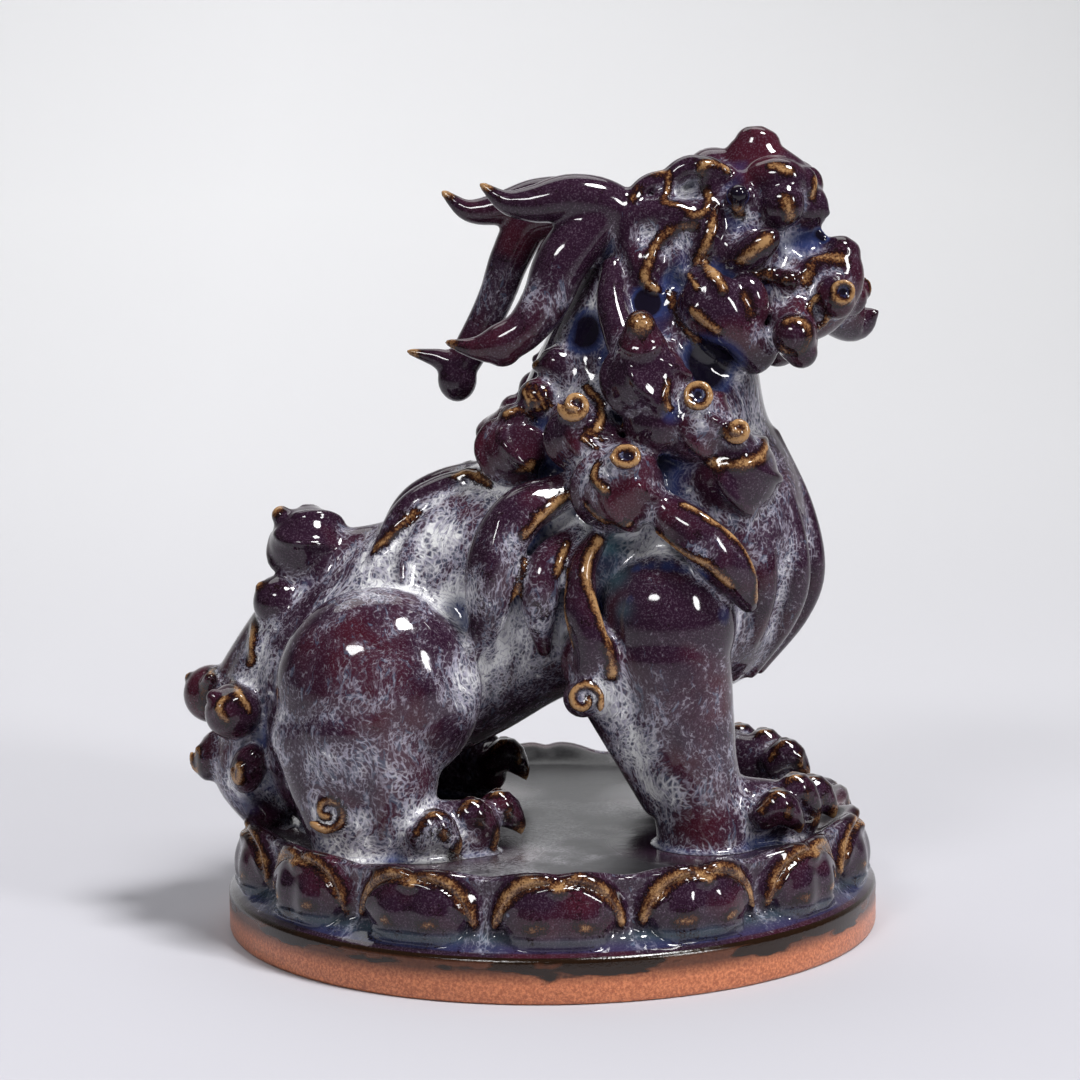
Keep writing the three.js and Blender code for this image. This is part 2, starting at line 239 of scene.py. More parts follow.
PAWS = [
    (((-36, -42, 32), (-21, -37, 33)), ((-31, -49.6, 37.4), (-21.6, -41, 38.5), (-14.5, -31, 38.5))),
    (((-34, 38, 33), (-20, 34, 35)), ((-30, 44, 40), (-20.5, 37, 42), (-13.5, 29, 41))),
    (((50, -31, 35), (65.5, -25, 34)), ((59.6, -38.5, 39.4), (65, -30, 41.8), (70.4, -21, 39.4))),
    (((48, 32, 36), (63, 27, 35.5)), ((55, 38, 42.6), (61.5, 30, 42.6), (67, 22, 41))),
]


def paws():
    """Low pads, and toes with a fat knuckle, two ribs, and a rim round a pointed claw."""
    for pad, toes in PAWS:
        limb(pad, [8.4, 6.6], wide=1.2)
        for x, y, z in toes:
            side = 1 if y > 0 else -1
            limb([(x - 4.4, y, z - 3.4), (x, y, z - 0.9), (x + 2.6, y, z - 3.4)], [4.2, 4.9, 3.6])
            claw = [(x + 1.6, y + side * 0.6, z - 2.6), (x + 4.2, y * 0.98, z - 5.6),
                    (x + 5.4, y * 0.97, z - 8.6)]
            limb(claw, [3.3, 2.7, 0.5])
            thin(claw[1:], 2.9)
            for turn in (-0.9, 0.9):
                rib = [(x - 5, y + turn * 3.4, z - 1.6), (x - 1, y + turn * 2.2, z + 3),
                       (x + 3, y + turn * 1.2, z - 0.2)]
                limb(rib, [0.9, 1.1, 1.0])
                thin(rib, 1.3)
            middle = Vector((x + 3.6, y, z - 1.8))
            rim = [middle + Vector((0.8 * cos(a) - 1.2, side * -3.7 * cos(a), 2.2 * sin(a)))
                   for a in np.linspace(-0.5, pi + 0.5, 7)]
            limb(rim, [0.9, 1.1, 1.1, 0.9])
            thin(rim, 1.4)


def curl(body, radius, knob, knob_radius, at=same):
    """A curl of the coat: an onion-shaped body that rises to a round knob."""
    body, knob = Vector(at(body)), Vector(at(knob))
    ball(body, (radius, radius, radius))
    limb([body, body.lerp(knob, 0.5), knob], [radius * 0.86, radius * 0.66, knob_radius])
    ball(knob, (knob_radius,) * 3)
    if radius < SMALL_CURL:
        return
    # Low ribs wind down the curl from its knob.
    up = (knob - body).normalized()
    side = up.cross(Vector(at((0.3, 1, 0.2)))).normalized()
    across = up.cross(side)
    for begin in np.linspace(0, tau, 6)[:-1]:
        rib = []
        for t in np.linspace(0, 1, 8):
            down, round_at = 0.55 + 1.5 * t, begin + 1.3 * t
            away = side * cos(round_at) + across * sin(round_at)
            rib.append(body + (up * cos(down) + away * sin(down)) * (radius - 0.5))
        limb(rib, [1.2, 1.7, 1.0], wide=1.3, face=up)


def tail():
    limb([(-60, 0, 97), (-69, 0, 80), (-77, 0, 61), (-78.5, 0, 45)], [10.6, 13.6, 15.6, 13.5])
    curl((-67, 0, 105), 10.8, (-74.4, 0, 113.4), 2.8)
    curl((-74.8, -5, 90), 7.6, (-79.4, -6, 94), 2.2)
    curl((-74, 9, 87), 7, (-79, 11, 90), 2.2)
    limb([(-73, 2, 90), (-81, 3, 76), (-88, 5, 66)], [6, 7.5, 7], wide=1.3, face=(-1, 0, 0.5))
    curl((-95.4, 6, 62.8), 8.2, (-101.4, 7, 67), 2)
    curl((-87.5, -15, 61.5), 7.8, (-92, -18, 66), 2.4)
    curl((-80, 21, 66), 7.4, (-85, 24, 69), 2.4)
    ball((-94.5, -2, 47), (5, 7.6, 7.6), (0, 20, 0))
    ball((-83.5, -17, 46), (5, 6, 7), (0, 15, 0))
    ball((-83.5, 17, 46), (5, 6, 7), (0, 15, 0))
    limb([(-85, 0, 53), (-87, 0, 42), (-80, 0, 31)], [8.4, 7.8, 7], wide=1.9, face=(-1, 0, 0))


def body_locks():
    locks = [
        ([(3, -28, 122), (-8, -32.6, 117), (-14.5, -35, 107), (-17, -35.6, 94), (-18, -29, 78)],
         [5, 6.8, 7.4, 6.4, 2.4]),
        ([(6, -30, 110), (-1, -34.6, 104), (-3.5, -36.6, 94), (-2.5, -32, 80)], [3.4, 5, 5.2, 2]),
        ([(12, -34, 110), (8, -38, 103), (7.3, -40, 93), (9.5, -41, 83), (9, -39, 71)],
         [3, 3.8, 4.4, 4.4, 4]),
        ([(27, -36, 119), (38, -41, 111), (46, -41, 102), (51.5, -37, 92.5)], [5, 6.6, 6, 2.6]),
        ([(-18, -8, 124), (-30, -10, 120), (-39.5, -12, 114), (-48, -16, 102)], [3.6, 4.8, 4.6, 2.4]),
    ]
    for at in SIDES:
        for points, radii in locks:
            limb(points, radii, at=at)
        ball(at((7.6, -40, 68.6)), (5.4, 4.4, 5.4))


MANE = [
    ((25, -29, 151), 11.6, (23.6, -37, 166), 4.2),
    ((38, -29.4, 139.4), 10.6, (38.1, -38, 148), 3.4),
    ((47.6, -25, 125.6), 12.8, (48.6, -35, 138), 3.2),
    ((17.5, -33.4, 123.6), 12.4, (19, -44, 132.6), 3.4),
    ((8.4, -26.6, 136.6), 9.6, (6.4, -34.5, 145), 3.4),
    ((-9.4, -15, 131.4), 10.6, (-9.8, -18, 140.4), 4.4),
]


def mane():
    for at in SIDES:
        for body, radius, knob, knob_radius in MANE:
            curl(body, radius, knob, knob_radius, at)
        ball(at((-3.2, -18, 146.2)), (5.6, 5.4, 5.4))
        ball(at((28.5, -31.5, 140.5)), (9.4, 8.4, 9.4))
        limb([(7.5, -15, 149), (2, -15, 154.6)], [7.6, 5.6], at=at)
        limb([(17, -18, 181), (16.5, -22, 172), (19, -28, 161)], [2.8, 4, 4.6], at=at)
    limb([(28.5, 0, 181), (21, 0, 160), (12.5, 0, 136)], [18, 20.4, 23], face=(1, 0, 0), wide=1.15)
    limb([(4, 0, 143), (-5, 0, 133)], [9, 10.6])


FREE_LOCKS = [
    ([(27, -10, 187), (17, -14, 196.5), (6.5, -16, 199.3), (-3.5, -17, 197.8), (-11, -17, 198.4),
      (-17.6, -17, 203.1)], [6, 6.7, 6.4, 5.1, 3.2, 0.9]),
    ([(12, -14, 193), (3.6, -17, 182.4), (-0.8, -18, 172.4), (-6.7, -19, 164.5), (-14, -19, 160.6),
      (-20.5, -18, 159.8), (-27.5, -17, 161.4)], [7.4, 7.3, 6.5, 5.6, 5.2, 2.9, 0.9]),
    ([(22, 8, 190), (10, 12, 198), (-2, 14, 199.4), (-13, 15, 196.6), (-22, 15, 196.2), (-29, 15, 201.5)],
     [6, 6.2, 5.6, 4.6, 3.1, 0.9]),
    ([(4, 12, 195), (-5, 15, 192), (-10.4, 16, 183), (-14.4, 17, 172.5), (-19.6, 18, 162), (-25, 18, 153.5),
      (-32, 18, 155.4), (-39.4, 18, 157.2)], [6.4, 6.2, 5.7, 5.1, 4.8, 4.8, 2.6, 0.9]),
]


def free_locks():
    for points, radii in FREE_LOCKS:
        limb(points, radii)
        thin([Vector(points[-1]).lerp(Vector(points[-2]), k) for k in (0, 0.3)], 1.7)
    ball((-12.6, -19, 159.8), (5.4, 5, 5.2))
    ball((-25.8, 18, 149.4), (5.6, 5.2, 6.6))


def head_masses():
    tip = -18
    ball(head((2, 0, 6)), (20.4, 18.6, 18.6), (0, 0, tip))
    middle = [
        ([(-14.5, 0, 8), (-9.5, 0, 16.4), (0, 0, 20.6)], [7.4, 7.8, 7.4], 1.4, (-1, 0, 1)),
        ([(12, 0, 12), (22, 0, 15.5), (31, 0, 16)], [14.4, 12, 6], 1.15, (0, -1, 0)),
        ([(30, 0, 18), (33.5, 0, 17), (37, 0, 13.8)], [6, 4, 0.8], 1, (0, -1, 0)),
        ([(24, 0, 1), (35, 0, 6)], [6, 3.4], 1.4, (0, -1, 0)),
        ([(14, 0, -6), (30, 0, -7.4), (38, 0, -3.4), (40.4, 0, 4)], [12.6, 11, 7.6, 4.6], 1.2, (0, -1, 0)),
        ([(16.4, 0, 22), (16.8, 0, 29), (17.8, 0, 33.4)], [8.8, 6.7, 4.7], 1.32, (0, -1, 0)),
        ([(19, 0, 28.6), (26, 0, 24)], [6.2, 6], 1, (0, -1, 0)),
    ]
    for points, radii, wide, face in middle:
        limb(points, radii, wide, face, head)
    ball(head((5.5, 0, 27)), (7.2, 8, 5.4), (0, 0, tip))
    for at in CHEEKS:
        balls = [
            ((13, -8.5, 3), (13, 9, 11), 0),
            ((24, -6.6, 23.6), (8.6, 5.8, 5.8), 0),
            ((26.4, -9.4, 16.6), (6.2, 5, 6.6), 0),
            ((31, -3.4, 21.6), (4, 3.6, 5.4), 0),
            ((15.6, -14.6, 18.8), (3.4, 2.8, 3.4), 0),
            ((20.8, -16.6, 5), (8, 4, 4.4), -35),
            ((19.2, -17.4, -8.5), (5.6, 4.6, 7.6), -15),
            ((40.6, -8, -8), (5.4, 5, 6), -20),
        ]
        for middle_at, radii, lean in balls:
            ball(at(head(middle_at)), radii, (0, lean, tip))
        for points, radii, wide in (
            ([(10, -9, 25), (2, -12, 27), (-4, -13.5, 22), (-3, -15, 16.5), (6, -15, 14.5)],
             [2.8, 3.4, 3.4, 3.2, 2.6], 1.0),
            ([(4, -15, 14.5), (-6, -17, 13.5), (-12.5, -19, 6), (-12, -20, -4)], [3.6, 4.6, 4.4, 3], 1.2),
            ([(4.6, -20, -3.4), (9.3, -22, -8), (15, -20, -16), (21, -14, -23)], [4, 6.6, 6.4, 4.6], 1.3),
        ):
            limb([head(p) for p in points], radii, wide, at=at)
    limb([(28, -8, -12), (32, -16, -19.4)], [7, 5.6], at=head)
    limb([(33, 8, -9), (40, 20, -15.4), (46.4, 20, -13)], [7, 6, 1], at=head)


for make in (trunk, legs, paws, tail, body_locks, mane, free_locks, head_masses):
    make()

# The skin of the masses, on which the finer relief is laid where the eye sees it.
skin = BVHTree.FromPolygons(*joined_clay())
EYE_OF_BEAST = EYE - Vector((BEAST_FORWARD, 0, 0))


def laid(p, sunk=0.0, most=9.0):
    """The place on the skin that the eye sees in the direction of p, sunk below it by that much. Where
    the skin there is further than most from p, p itself."""
    p = Vector(p)
    hit, normal, _, _ = skin.ray_cast(EYE_OF_BEAST, (p - EYE_OF_BEAST).normalized())
    if hit is None or (hit - p).length > most:
        return p
    return hit - normal * sunk


def ridge(points, radii, reach=None, sides=SIDES, near=same, swell=1.0):
    """A raised line with soft flanks on the skin, on both sides of the beast. Where it is thinly
    glazed, reach says how far from its crest."""
    radius = max(radii) * swell
    flank = [laid(near(p), radius * 1.35) for p in points]
    crest = [laid(near(p), radius * 0.3) for p in points]
    top = [laid(near(p), -radius * 0.5) for p in points]
    for at in sides:
        limb(flank, [r * 2.1 * swell for r in radii], at=at)
        limb(crest, [r * 1.15 * swell for r in radii], at=at)
        if reach:
            thin(top, reach * 1.1, at)


def spiral(middle, outward, size, ridge_radius, turns, reach, sides=SIDES, start=0.0, flat=1.0,
           rise=0.0, wind=0.74):
    """A snail-like ridge round the direction outward, wound in by the share wind of its size."""
    middle, n = Vector(middle), Vector(outward).normalized()
    u = n.cross(Vector((0, 0, 1))).normalized()
    v = n.cross(u)
    line = []
    for t in np.linspace(0, 1, max(6, int(turns * 9))):
        a = start + tau * turns * t
        r = size * (1 - wind * t)
        line.append(middle + (u * cos(a) + v * sin(a) * flat) * r + n * (rise * t))
    for at in sides:
        limb(line, [ridge_radius, ridge_radius, ridge_radius * 0.8], at=at)
        thin([p + n * ridge_radius * 0.6 for p in line], reach, at)


def boss(points, radius, stand, reach, sides=CHEEKS, near=head):
    """A smooth swelling along a line of the skin. Its crest is thinly glazed."""
    low = [laid(near(p), radius - stand) for p in points]
    top = [laid(near(p), -stand) for p in points]
    for at in sides:
        if radius:
            limb(low, [radius * 0.8, radius, radius * 0.8], at=at)
        thin(top, reach * 0.85, at)


def face_relief():
    """The carving of the face, laid on the right cheek and mirrored on the left."""
    lines = [
        ([(11.6, -10.3, 25.8), (8.3, -12.1, 27.4), (5.5, -14.2, 26.9), (6.1, -12.8, 23.4), (7.2, -11, 19.3),
          (7.2, -16.2, 15.3), (4.6, -18.4, 14)], [1.5, 1.8, 1.7, 1.2], 1.35),
        ([(4.6, -18.4, 14), (1.7, -19.1, 16.4), (-3.6, -19, 17.4), (-3, -17.4, 20.4), (-3, -15.2, 25.5)],
         [1, 1.3, 1.3, 1], 1.15),
        ([(-12, -21.1, 18.5), (-8.6, -17.6, 22.6), (-4.5, -14.4, 25.5)], [1, 1.2, 1], 1.4),
        ([(4.9, -17.5, 11.8), (0.1, -19.2, 11.8), (-4.4, -20.2, 7.3), (-6.6, -23.7, 1.9),
          (-6.9, -24.8, -2.7), (-4.1, -23.7, -5.2)], [1.7, 2, 2, 1.3], 1.6),
        ([(3.7, -18.9, 14.8), (-3.1, -20.7, 15.9), (-9.5, -22.5, 13.5), (-12.4, -23.5, 8),
          (-10.3, -23.8, 1.9), (-8.4, -24.9, -3.2)], [1.6, 2.2, 2.2, 1.2], None),
        ([(32.9, -9.3, -3.3), (34.2, -7, 0.2), (37.5, -5.6, 2.4), (42.4, -4, 1.9)],
         [1.1, 1.6, 1.6, 0.9], 1.9),
        ([(11.5, -10.2, 22.8), (12.7, -8.6, 25.3), (15.6, -10, 24), (18.8, -11.6, 20.1),
          (19.5, -12.9, 15.6)], [0.8, 1, 1, 0.8], None),
        ([(4.8, -25.2, -1.2), (7.8, -26.8, -4.7)], [0.8, 0.8], 1.0),
        ([(7, -28, -10.6), (13.1, -27.5, -15.7)], [1.3, 1.3], 1.7),
        ([(-0.5, -23.5, -5.3), (0.6, -24, -10.3), (4.2, -24.6, -14.8), (7.2, -22.9, -18.9)],
         [0.9, 1, 0.7], 1.4),
    ]
    for points, radii, reach in lines:
        ridge(points, radii, reach, CHEEKS, head)
    # Bosses: the temple, the end of the ruff, and the amber crests of the cheek, brow and nose.
    boss([(9.2, -12.8, 15.7), (8.7, -15.8, 10.7), (7.4, -16.2, 6.2), (5.3, -17.1, 2.4)], 3.2, 2.2, 2.0)
    boss([(8.5, -23.6, 0.8), (11.9, -24.8, -2.2), (14.2, -25.7, -5.2)], 3.0, 1.8, 2.6)
    boss([(17, -17, 2), (20.9, -18.9, 4.9), (24.2, -17.5, 7.8)], 0, 0, 2.3)
    boss([(18.8, -20.4, -7.4), (20.4, -21, -11)], 0, 0, 2.8)
    boss([(23.6, -8.6, 27.2), (28.2, -9, 25.6)], 0, 0, 1.9)
    boss([(27.8, -11.8, 18), (29.2, -11.4, 13.6)], 0, 0, 2.3)
    boss([(34.1, -1.6, 23), (33.9, -5.5, 18.9)], 0, 0, 1.9)
    # The eye is a round dark bead over an amber point.
    for at in CHEEKS:
        eye = at(laid(head((16.5, -16.8, 19.7)), 0.1))
        ball(eye, (2.6, 2.6, 2.6))
        eyes.append(eye)
        low, high, crest = (laid(head((x, -14.2, z))) for x, z in ((16.2, 14.6), (15.3, 16.4), (15.3, 16.2)))
        limb([high, low], [1.6, 0.8], at=at)
        thin([crest, low], 1.8, at)
    # A tusk points back from the corner of the mouth.
    tusk = [laid(head(p), -0.3) for p in ((29, -10.6, -3.6), (25, -10.9, -2.6), (19.8, -13.2, -1.2))]
    for at in CHEEKS:
        limb(tusk, [3, 2.5, 0.6], at=at)
        thin(tusk, 2.5, at)
    # Curls of the beard.
    facing = head((10, -30, 0)) - head((0, 0, 0))
    spiral(laid(head((43.3, -11.1, -6.3))), facing, 2.9, 0.85, 1.0, 1.2, CHEEKS, start=0.8, wind=0.12)
    spiral(laid(head((36.8, -9.4, -11.2)), -0.6), facing, 2.5, 1.0, 0.95, 1.3, CHEEKS, flat=1.7, wind=0.1)
    for place, radius in (((31.9, -19, -17.4), 6), ((33.4, -17, -22), 4.4), ((34.6, -22, -14), 1.6)):
        ball(laid(head(place), radius * 0.4) if radius < 2 else head(place), (radius,) * 3)
    low_curl = laid(head((31.5, -20.5, -17)))
    spiral(low_curl, facing, 4.2, 1.1, 0.62, 1.9, (same,), start=1.2, rise=1.2, wind=0.2)


def mane_relief():
    """Rings, spirals and ribs on the knobs and curls of the mane."""
    toward = Vector((0, -1, 0.35))
    spiral((38.2, -41.2, 148), toward, 3.3, 1.15, 1.0, 1.7, start=0.4, wind=0.1)
    spiral((48.7, -37.6, 138.4), toward, 3.4, 1.1, 1.3, 1.7, rise=2.2)
    spiral((19.2, -47, 133), toward, 3.5, 1.1, 1.0, 1.6, flat=0.75, wind=0.15)
    spiral((6.3, -37.6, 145.4), toward, 4, 1.15, 1.35, 1.7, rise=1.8)
    for at in SIDES:
        thin([at((23.4, -40.5, 166.4))], 3.4)
    ring = [laid((23.6 + 5.6 * cos(a), -36, 163.4 + 4.6 * sin(a))) for a in np.linspace(-2.9, -0.2, 7)]
    for at in SIDES:
        limb(ring, [0.8, 1.1, 0.8], at=at)
    lines = [
        ([(30.5, -37.2, 151.1), (29.3, -37.7, 147), (30.8, -30.4, 144)], [1, 1.3, 1], 1.5),
        ([(41.9, -35, 129.6), (48.4, -37.1, 129.2), (54.6, -34.2, 130.7), (56.6, -31.1, 133.8)],
         [1.2, 1.5, 1.2], 1.9),
        ([(12.2, -42.8, 130.6), (11.3, -43.7, 127.1), (13.9, -45.1, 123.9)], [1, 1.2, 1], 1.4),
        ([(9, -42, 120), (13.9, -42, 116.3), (20.5, -40.2, 115)], [1.2, 1.6, 1.2], 1.0),
        ([(9.8, -23.6, 149), (12.8, -25.3, 145.1), (13.2, -32.2, 141.9), (11.9, -34, 138.5)],
         [1, 1.3, 1], 1.5),
        ([(9.6, -35.5, 138.8), (13.6, -32, 135.2)], [0.7, 0.7], 1.0),
        ([(8.4, -36.5, 136.8), (12.2, -33, 133.4)], [0.7, 0.7], 1.0),
        ([(-11.8, -20.8, 142.4), (-8, -21, 143), (-5.6, -17.1, 140.8)], [1, 1.2, 0.9], 1.5),
        ([(-8.8, -22.7, 127.4), (-5.1, -23.1, 129)], [1, 1.2], 1.6),
        ([(-26.3, -11.7, 124.7), (-22, -11.6, 125.2), (-16.4, -14.7, 122.9)], [0.8, 1.6, 0.8], 1.8),
        ([(19.4, -24.7, 139.4), (23.6, -25.4, 135.8)], [0.8, 0.8], 1.0),
    ]
    for points, radii, reach in lines:
        ridge(points, radii, reach)
    # The striped ball at the back of the mane.
    for k in range(5):
        a = -2.2 + k * 2.1
        stripe = [(-8 + a, -19, 151.5 - 0.5 * k), (-6.5 + a, -22.6, 147 - 0.4 * k),
                  (-5.2 + a, -21, 142.5 + 0.3 * k)]
        boss(stripe, 0, 0.2, 0.9, SIDES, same)
    for at in SIDES:
        ball(at((-2.8, -15, 154.6)), (2.2, 2.2, 1.8))
        thin([at((-3.4, -16, 155.2))], 1.8)


def lock_relief():
    """Crests and edges on the locks of the coat, and the ribs between the flank's hollows."""
    lines = [
        ([(4.3, -31, 121.4), (-0.4, -33.8, 118.6), (-4.1, -35.2, 115.2), (-6.9, -36, 111.4)],
         [1.2, 1.5, 1], 1.9),
        ([(-8, -30.5, 104), (-9.2, -30.4, 99.3), (-10.6, -30.3, 94)], [1, 1.3, 0.9], 1.6),
        ([(4, -34.3, 108.9), (1.8, -36.3, 104.3), (0.9, -37.1, 101)], [1, 1.2, 0.8], 1.4),
        ([(12.1, -36.9, 110), (9.3, -40.2, 105.3), (8.6, -41.9, 100.1), (10.6, -42.6, 93.5),
          (13.1, -40, 84.9), (14.8, -40.6, 79.7), (15.3, -42.4, 75.2)], [1.3, 1.3, 1.4, 1.4, 1.5, 1.4], 1.7),
        ([(4, -38.4, 102), (3.4, -40, 92), (5.4, -41, 82)], [0.7, 0.8, 0.7], 0.8),
        ([(34.3, -40.8, 119.5), (40.7, -44.1, 115.6), (48, -41.9, 109.2), (52.3, -39.6, 101),
          (52.9, -39.5, 93.6)], [1, 1.2, 1.3, 1.2], 1.2),
        ([(27.2, -38.7, 112.6), (34, -44.9, 108), (41, -46.9, 104.1), (46.2, -46.6, 98.8)],
         [1.1, 1.3, 1.5, 1.2], 1.4),
        ([(-47.9, -16.7, 105.4), (-41.9, -17.1, 110.9), (-36.7, -15.9, 115.9)], [0.9, 1.2, 0.9], 1.5),
        ([(-26.6, -13.4, 118.9), (-34.3, -14.7, 112.7), (-39.3, -20.7, 103.9), (-39.9, -24.2, 97.3)],
         [1.6, 2, 2, 1.4], None),
        ([(-13.5, -35, 116.6), (-16.1, -39.6, 106), (-18.1, -39.7, 95.4), (-20.8, -36, 86.1),
          (-20.5, -29.7, 77.5)], [1.2, 1.6, 1.6, 1.2], None),
        ([(-88, -12, 69), (-86, -15.4, 66.6), (-82.4, -20.3, 62.8)], [0.9, 1.1, 0.9], 1.3),
        ([(-88.8, -20.4, 66.4), (-90.4, -22, 63.6), (-88.4, -22.4, 60.7)], [0.9, 1.2, 0.9], 1.4),
        ([(-95, 6.1, 69.9), (-96.2, 0.9, 66.1), (-96.7, -0.7, 60.8)], [0.9, 1.3, 0.9], 1.6),
        ([(-82.8, -3.2, 84.8), (-81.8, -7.4, 79.2), (-82.9, -10.4, 74.1)], [0.8, 2, 0.9], 1.9),
    ]
    for points, radii, reach in lines:
        ridge(points, radii, reach)
    # A spiral disc ends the lock on each foreleg, and another sits at each heel.
    spiral((7.7, -44.6, 68.8), (0, -1, 0.1), 5, 1.05, 1.15, 1.4, start=2.6)
    spiral(laid((-59.3, -47.2, 40.6), -0.5), (-0.2, -1, 0.1), 5.4, 1.15, 1.15, 1.5, start=0.6)
    tips = ((-76.2, 0, 115.4), (-81.2, -6.6, 95.6), (-81, 11.6, 91.6), (-103, 8, 67.4), (-86.6, 24.6, 70))
    for tip in tips:
        thin([tip], 3.4)
    for middle, size in (((-98.6, -4.6, 47.4), 3.4), ((-85.6, -22, 46.6), 2.6), ((-85.6, 22, 46.6), 2.6)):
        side = -1 if middle[1] < 0 else 1
        spiral(middle, (-1, side * 0.8, 0), size, 1.1, 0.95, 1.5, (same,), flat=1.5)


face_relief()
mane_relief()
lock_relief()


# Dents pressed into the clay. Each row: a place of the right side, how wide, and how deep.
DENTS = [
    (-27, -31, 93, 4.6, 2.0), (-24, -30, 80, 4, 1.6), (-13, -33, 84, 2.4, 1.2),
    (-7.5, -34, 97, 2.2, 1.8), (-8, -34, 108, 2.0, 1.2), (3.6, -38, 98, 1.8, 1.6),
    (43, -22, 155, 6, 4.0), (30, -33, 144, 2.6, 1.6), (28, -33, 132, 3, 1.6), (16, -30, 146, 3, 2.0),
    (4, -24, 136, 2.6, 1.8), (26, -38, 116, 2.4, 1.4), (13, -24, 158, 3.4, 2.4), (-1, -21, 126, 3, 1.8),
    (-38, -46, 48, 2.8, 0.9), (-50, -50, 40, 2.6, 0.9), (48, -44, 76, 3, 0.6), (-36, -18, 107, 4, 1.2),
    (38.2, -42, 148, 1.5, 1.4), (20, -46, 133, 1.4, 1.2),
]
FACE_DENTS = [
    (0.8, -21, -3.2, 2.8, 5.5), (-2.6, -21.5, 4.6, 2.2, 1.4), (35.5, -5, 7.6, 3, 4.0),
    (1.5, -16, 21, 3, 0.7), (19.6, -14.4, 16.4, 2, 1.0), (25, -11, 20.4, 1.6, 0.9),
    (15.2, -15.6, 10.3, 2.2, 1.2), (28, -13, -9, 2.4, 1.6), (31, -8, 9, 2.6, 0.9),
    (12.4, -20, -1.6, 1.8, 1.0), (14, -21, -9, 1.6, 0.9), (-6, -21, 9, 2, 1.0),
    (24.6, -15, -2, 1.8, 0.8), (36.8, -12, -11.2, 1.2, 1.0), (43.3, -11.1, -6.3, 1.2, 1.2),
]


def press(co, normals):
    """Presses the dents into the skin."""
    dents = [(at(place), size, depth) for *place, size, depth in DENTS for at in SIDES]
    dents += [(at(head(place)), size, depth) for *place, size, depth in FACE_DENTS for at in CHEEKS]
    for place, size, depth in dents:
        far = ((co - np.array(place)) ** 2).sum(axis=1) / size**2
        near = far < 6
        co[near] -= normals[near] * (depth * np.exp(-far[near]))[:, None]


# Meshes as arrays, to smooth and measure them.
def arrays_of(mesh):
    """The places of a mesh's vertices, and the pairs of vertices that its edges join."""
    co = np.empty(len(mesh.vertices) * 3)
    mesh.vertices.foreach_get("co", co)
    edges = np.empty(len(mesh.edges) * 2, int)
    mesh.edges.foreach_get("vertices", edges)
    return co.reshape(-1, 3), edges.reshape(-1, 2)


def ring_of(edges, total):
    """Each vertex's neighbours in one list, where each vertex's own begin, and how many it has."""
    here = np.r_[edges[:, 0], edges[:, 1]]
    there = np.r_[edges[:, 1], edges[:, 0]]
    order = np.argsort(here, kind="stable")
    starts = np.searchsorted(here[order], np.arange(total))
    return there[order], starts, np.maximum(np.bincount(here, minlength=total), 1)


def neighbour_mean(values, ring):
    """For each vertex, the mean of its neighbours' values."""
    there, starts, count = ring
    return np.add.reduceat(values[there], starts, axis=0) / count[:, None]


def normals_of(mesh, co):
    """The directions out of the skin, with the mesh's vertices moved to these places."""
    mesh.vertices.foreach_set("co", co.ravel())
    mesh.update()
    normals = np.empty(len(co) * 3)
    mesh.vertex_normals.foreach_get("vector", normals)
    return normals.reshape(-1, 3)


def pooled(mesh, fill_steps, smooth_steps):
    """Fills the creases as a thick glaze does, and smooths the whole skin a little."""
    co, edges = arrays_of(mesh)
    ring = ring_of(edges, len(co))
    for _ in range(smooth_steps):
        for share in (0.5, -0.52):
            co += share * (neighbour_mean(co, ring) - co)
    press(co, normals_of(mesh, co))
    for step in range(fill_steps):
        if step % 6 == 0:
            normals = normals_of(mesh, co)
        pull = neighbour_mean(co, ring) - co
        inward = np.einsum("ij,ij->i", pull, normals)
        co += np.where(inward > 0, 0.6, 0.06)[:, None] * pull
    return co, ring, normals_of(mesh, co)


def hollow_field(co, ring, normals, steps, rest):
    """How far a smoother skin lies outside this one: above 0 in hollows and below 0 on crests."""
    soft = co.copy()
    for _ in range(steps):
        soft = neighbour_mean(soft, ring)
    field = np.einsum("ij,ij->i", soft - co, normals)[:, None]
    for _ in range(rest):
        field = neighbour_mean(field, ring)
    return field[:, 0]


def object_with(name, data):
    """An object in the scene for a mesh, a lamp or the camera."""
    made = bpy.data.objects.new(name, data)
    bpy.context.scene.collection.objects.link(made)
    return made


def mesh_with(shape, name, modifiers):
    """The mesh that the modifiers make of a shape."""
    holder = object_with(name, shape)
    for kind, settings in modifiers:
        modifier = holder.modifiers.new(kind, kind)
        for key, value in settings.items():
            setattr(modifier, key, value)
    bpy.context.view_layer.update()
    made = bpy.data.meshes.new_from_object(holder.evaluated_get(bpy.context.evaluated_depsgraph_get()))
    bpy.data.objects.remove(holder)
    bpy.data.meshes.remove(shape)
    return made


def put(mesh, name, values):
    """Writes one value for each vertex, which the glaze reads by its name."""
    layer = mesh.attributes.new(name, "FLOAT", "POINT")
    layer.data.foreach_set("value", np.asarray(values, np.float32))


def tree_of(points):
    """The points, kept so that the nearest to a place is found quickly."""
    tree = KDTree(len(points))
    for k, p in enumerate(points):
        tree.insert(p, k)
    tree.balance()
    return tree


def thin_field(co):
    """Over 1 on a marked line, 0.5 at its reach and 0 well past it."""
    tree = tree_of([mark[:3] for mark in thin_marks])
    field = np.zeros(len(co))
    for k, p in enumerate(co):
        best = 0.0
        for _, index, far in tree.find_n(p, 3):
            best = max(best, 1.5 - far / thin_marks[index][3])
        field[k] = min(best, 1.3)
    return field


# How far from a place of these tables the skin may lie, on the body and on the face.
BODY_OFF = 25
FACE_OFF = 12

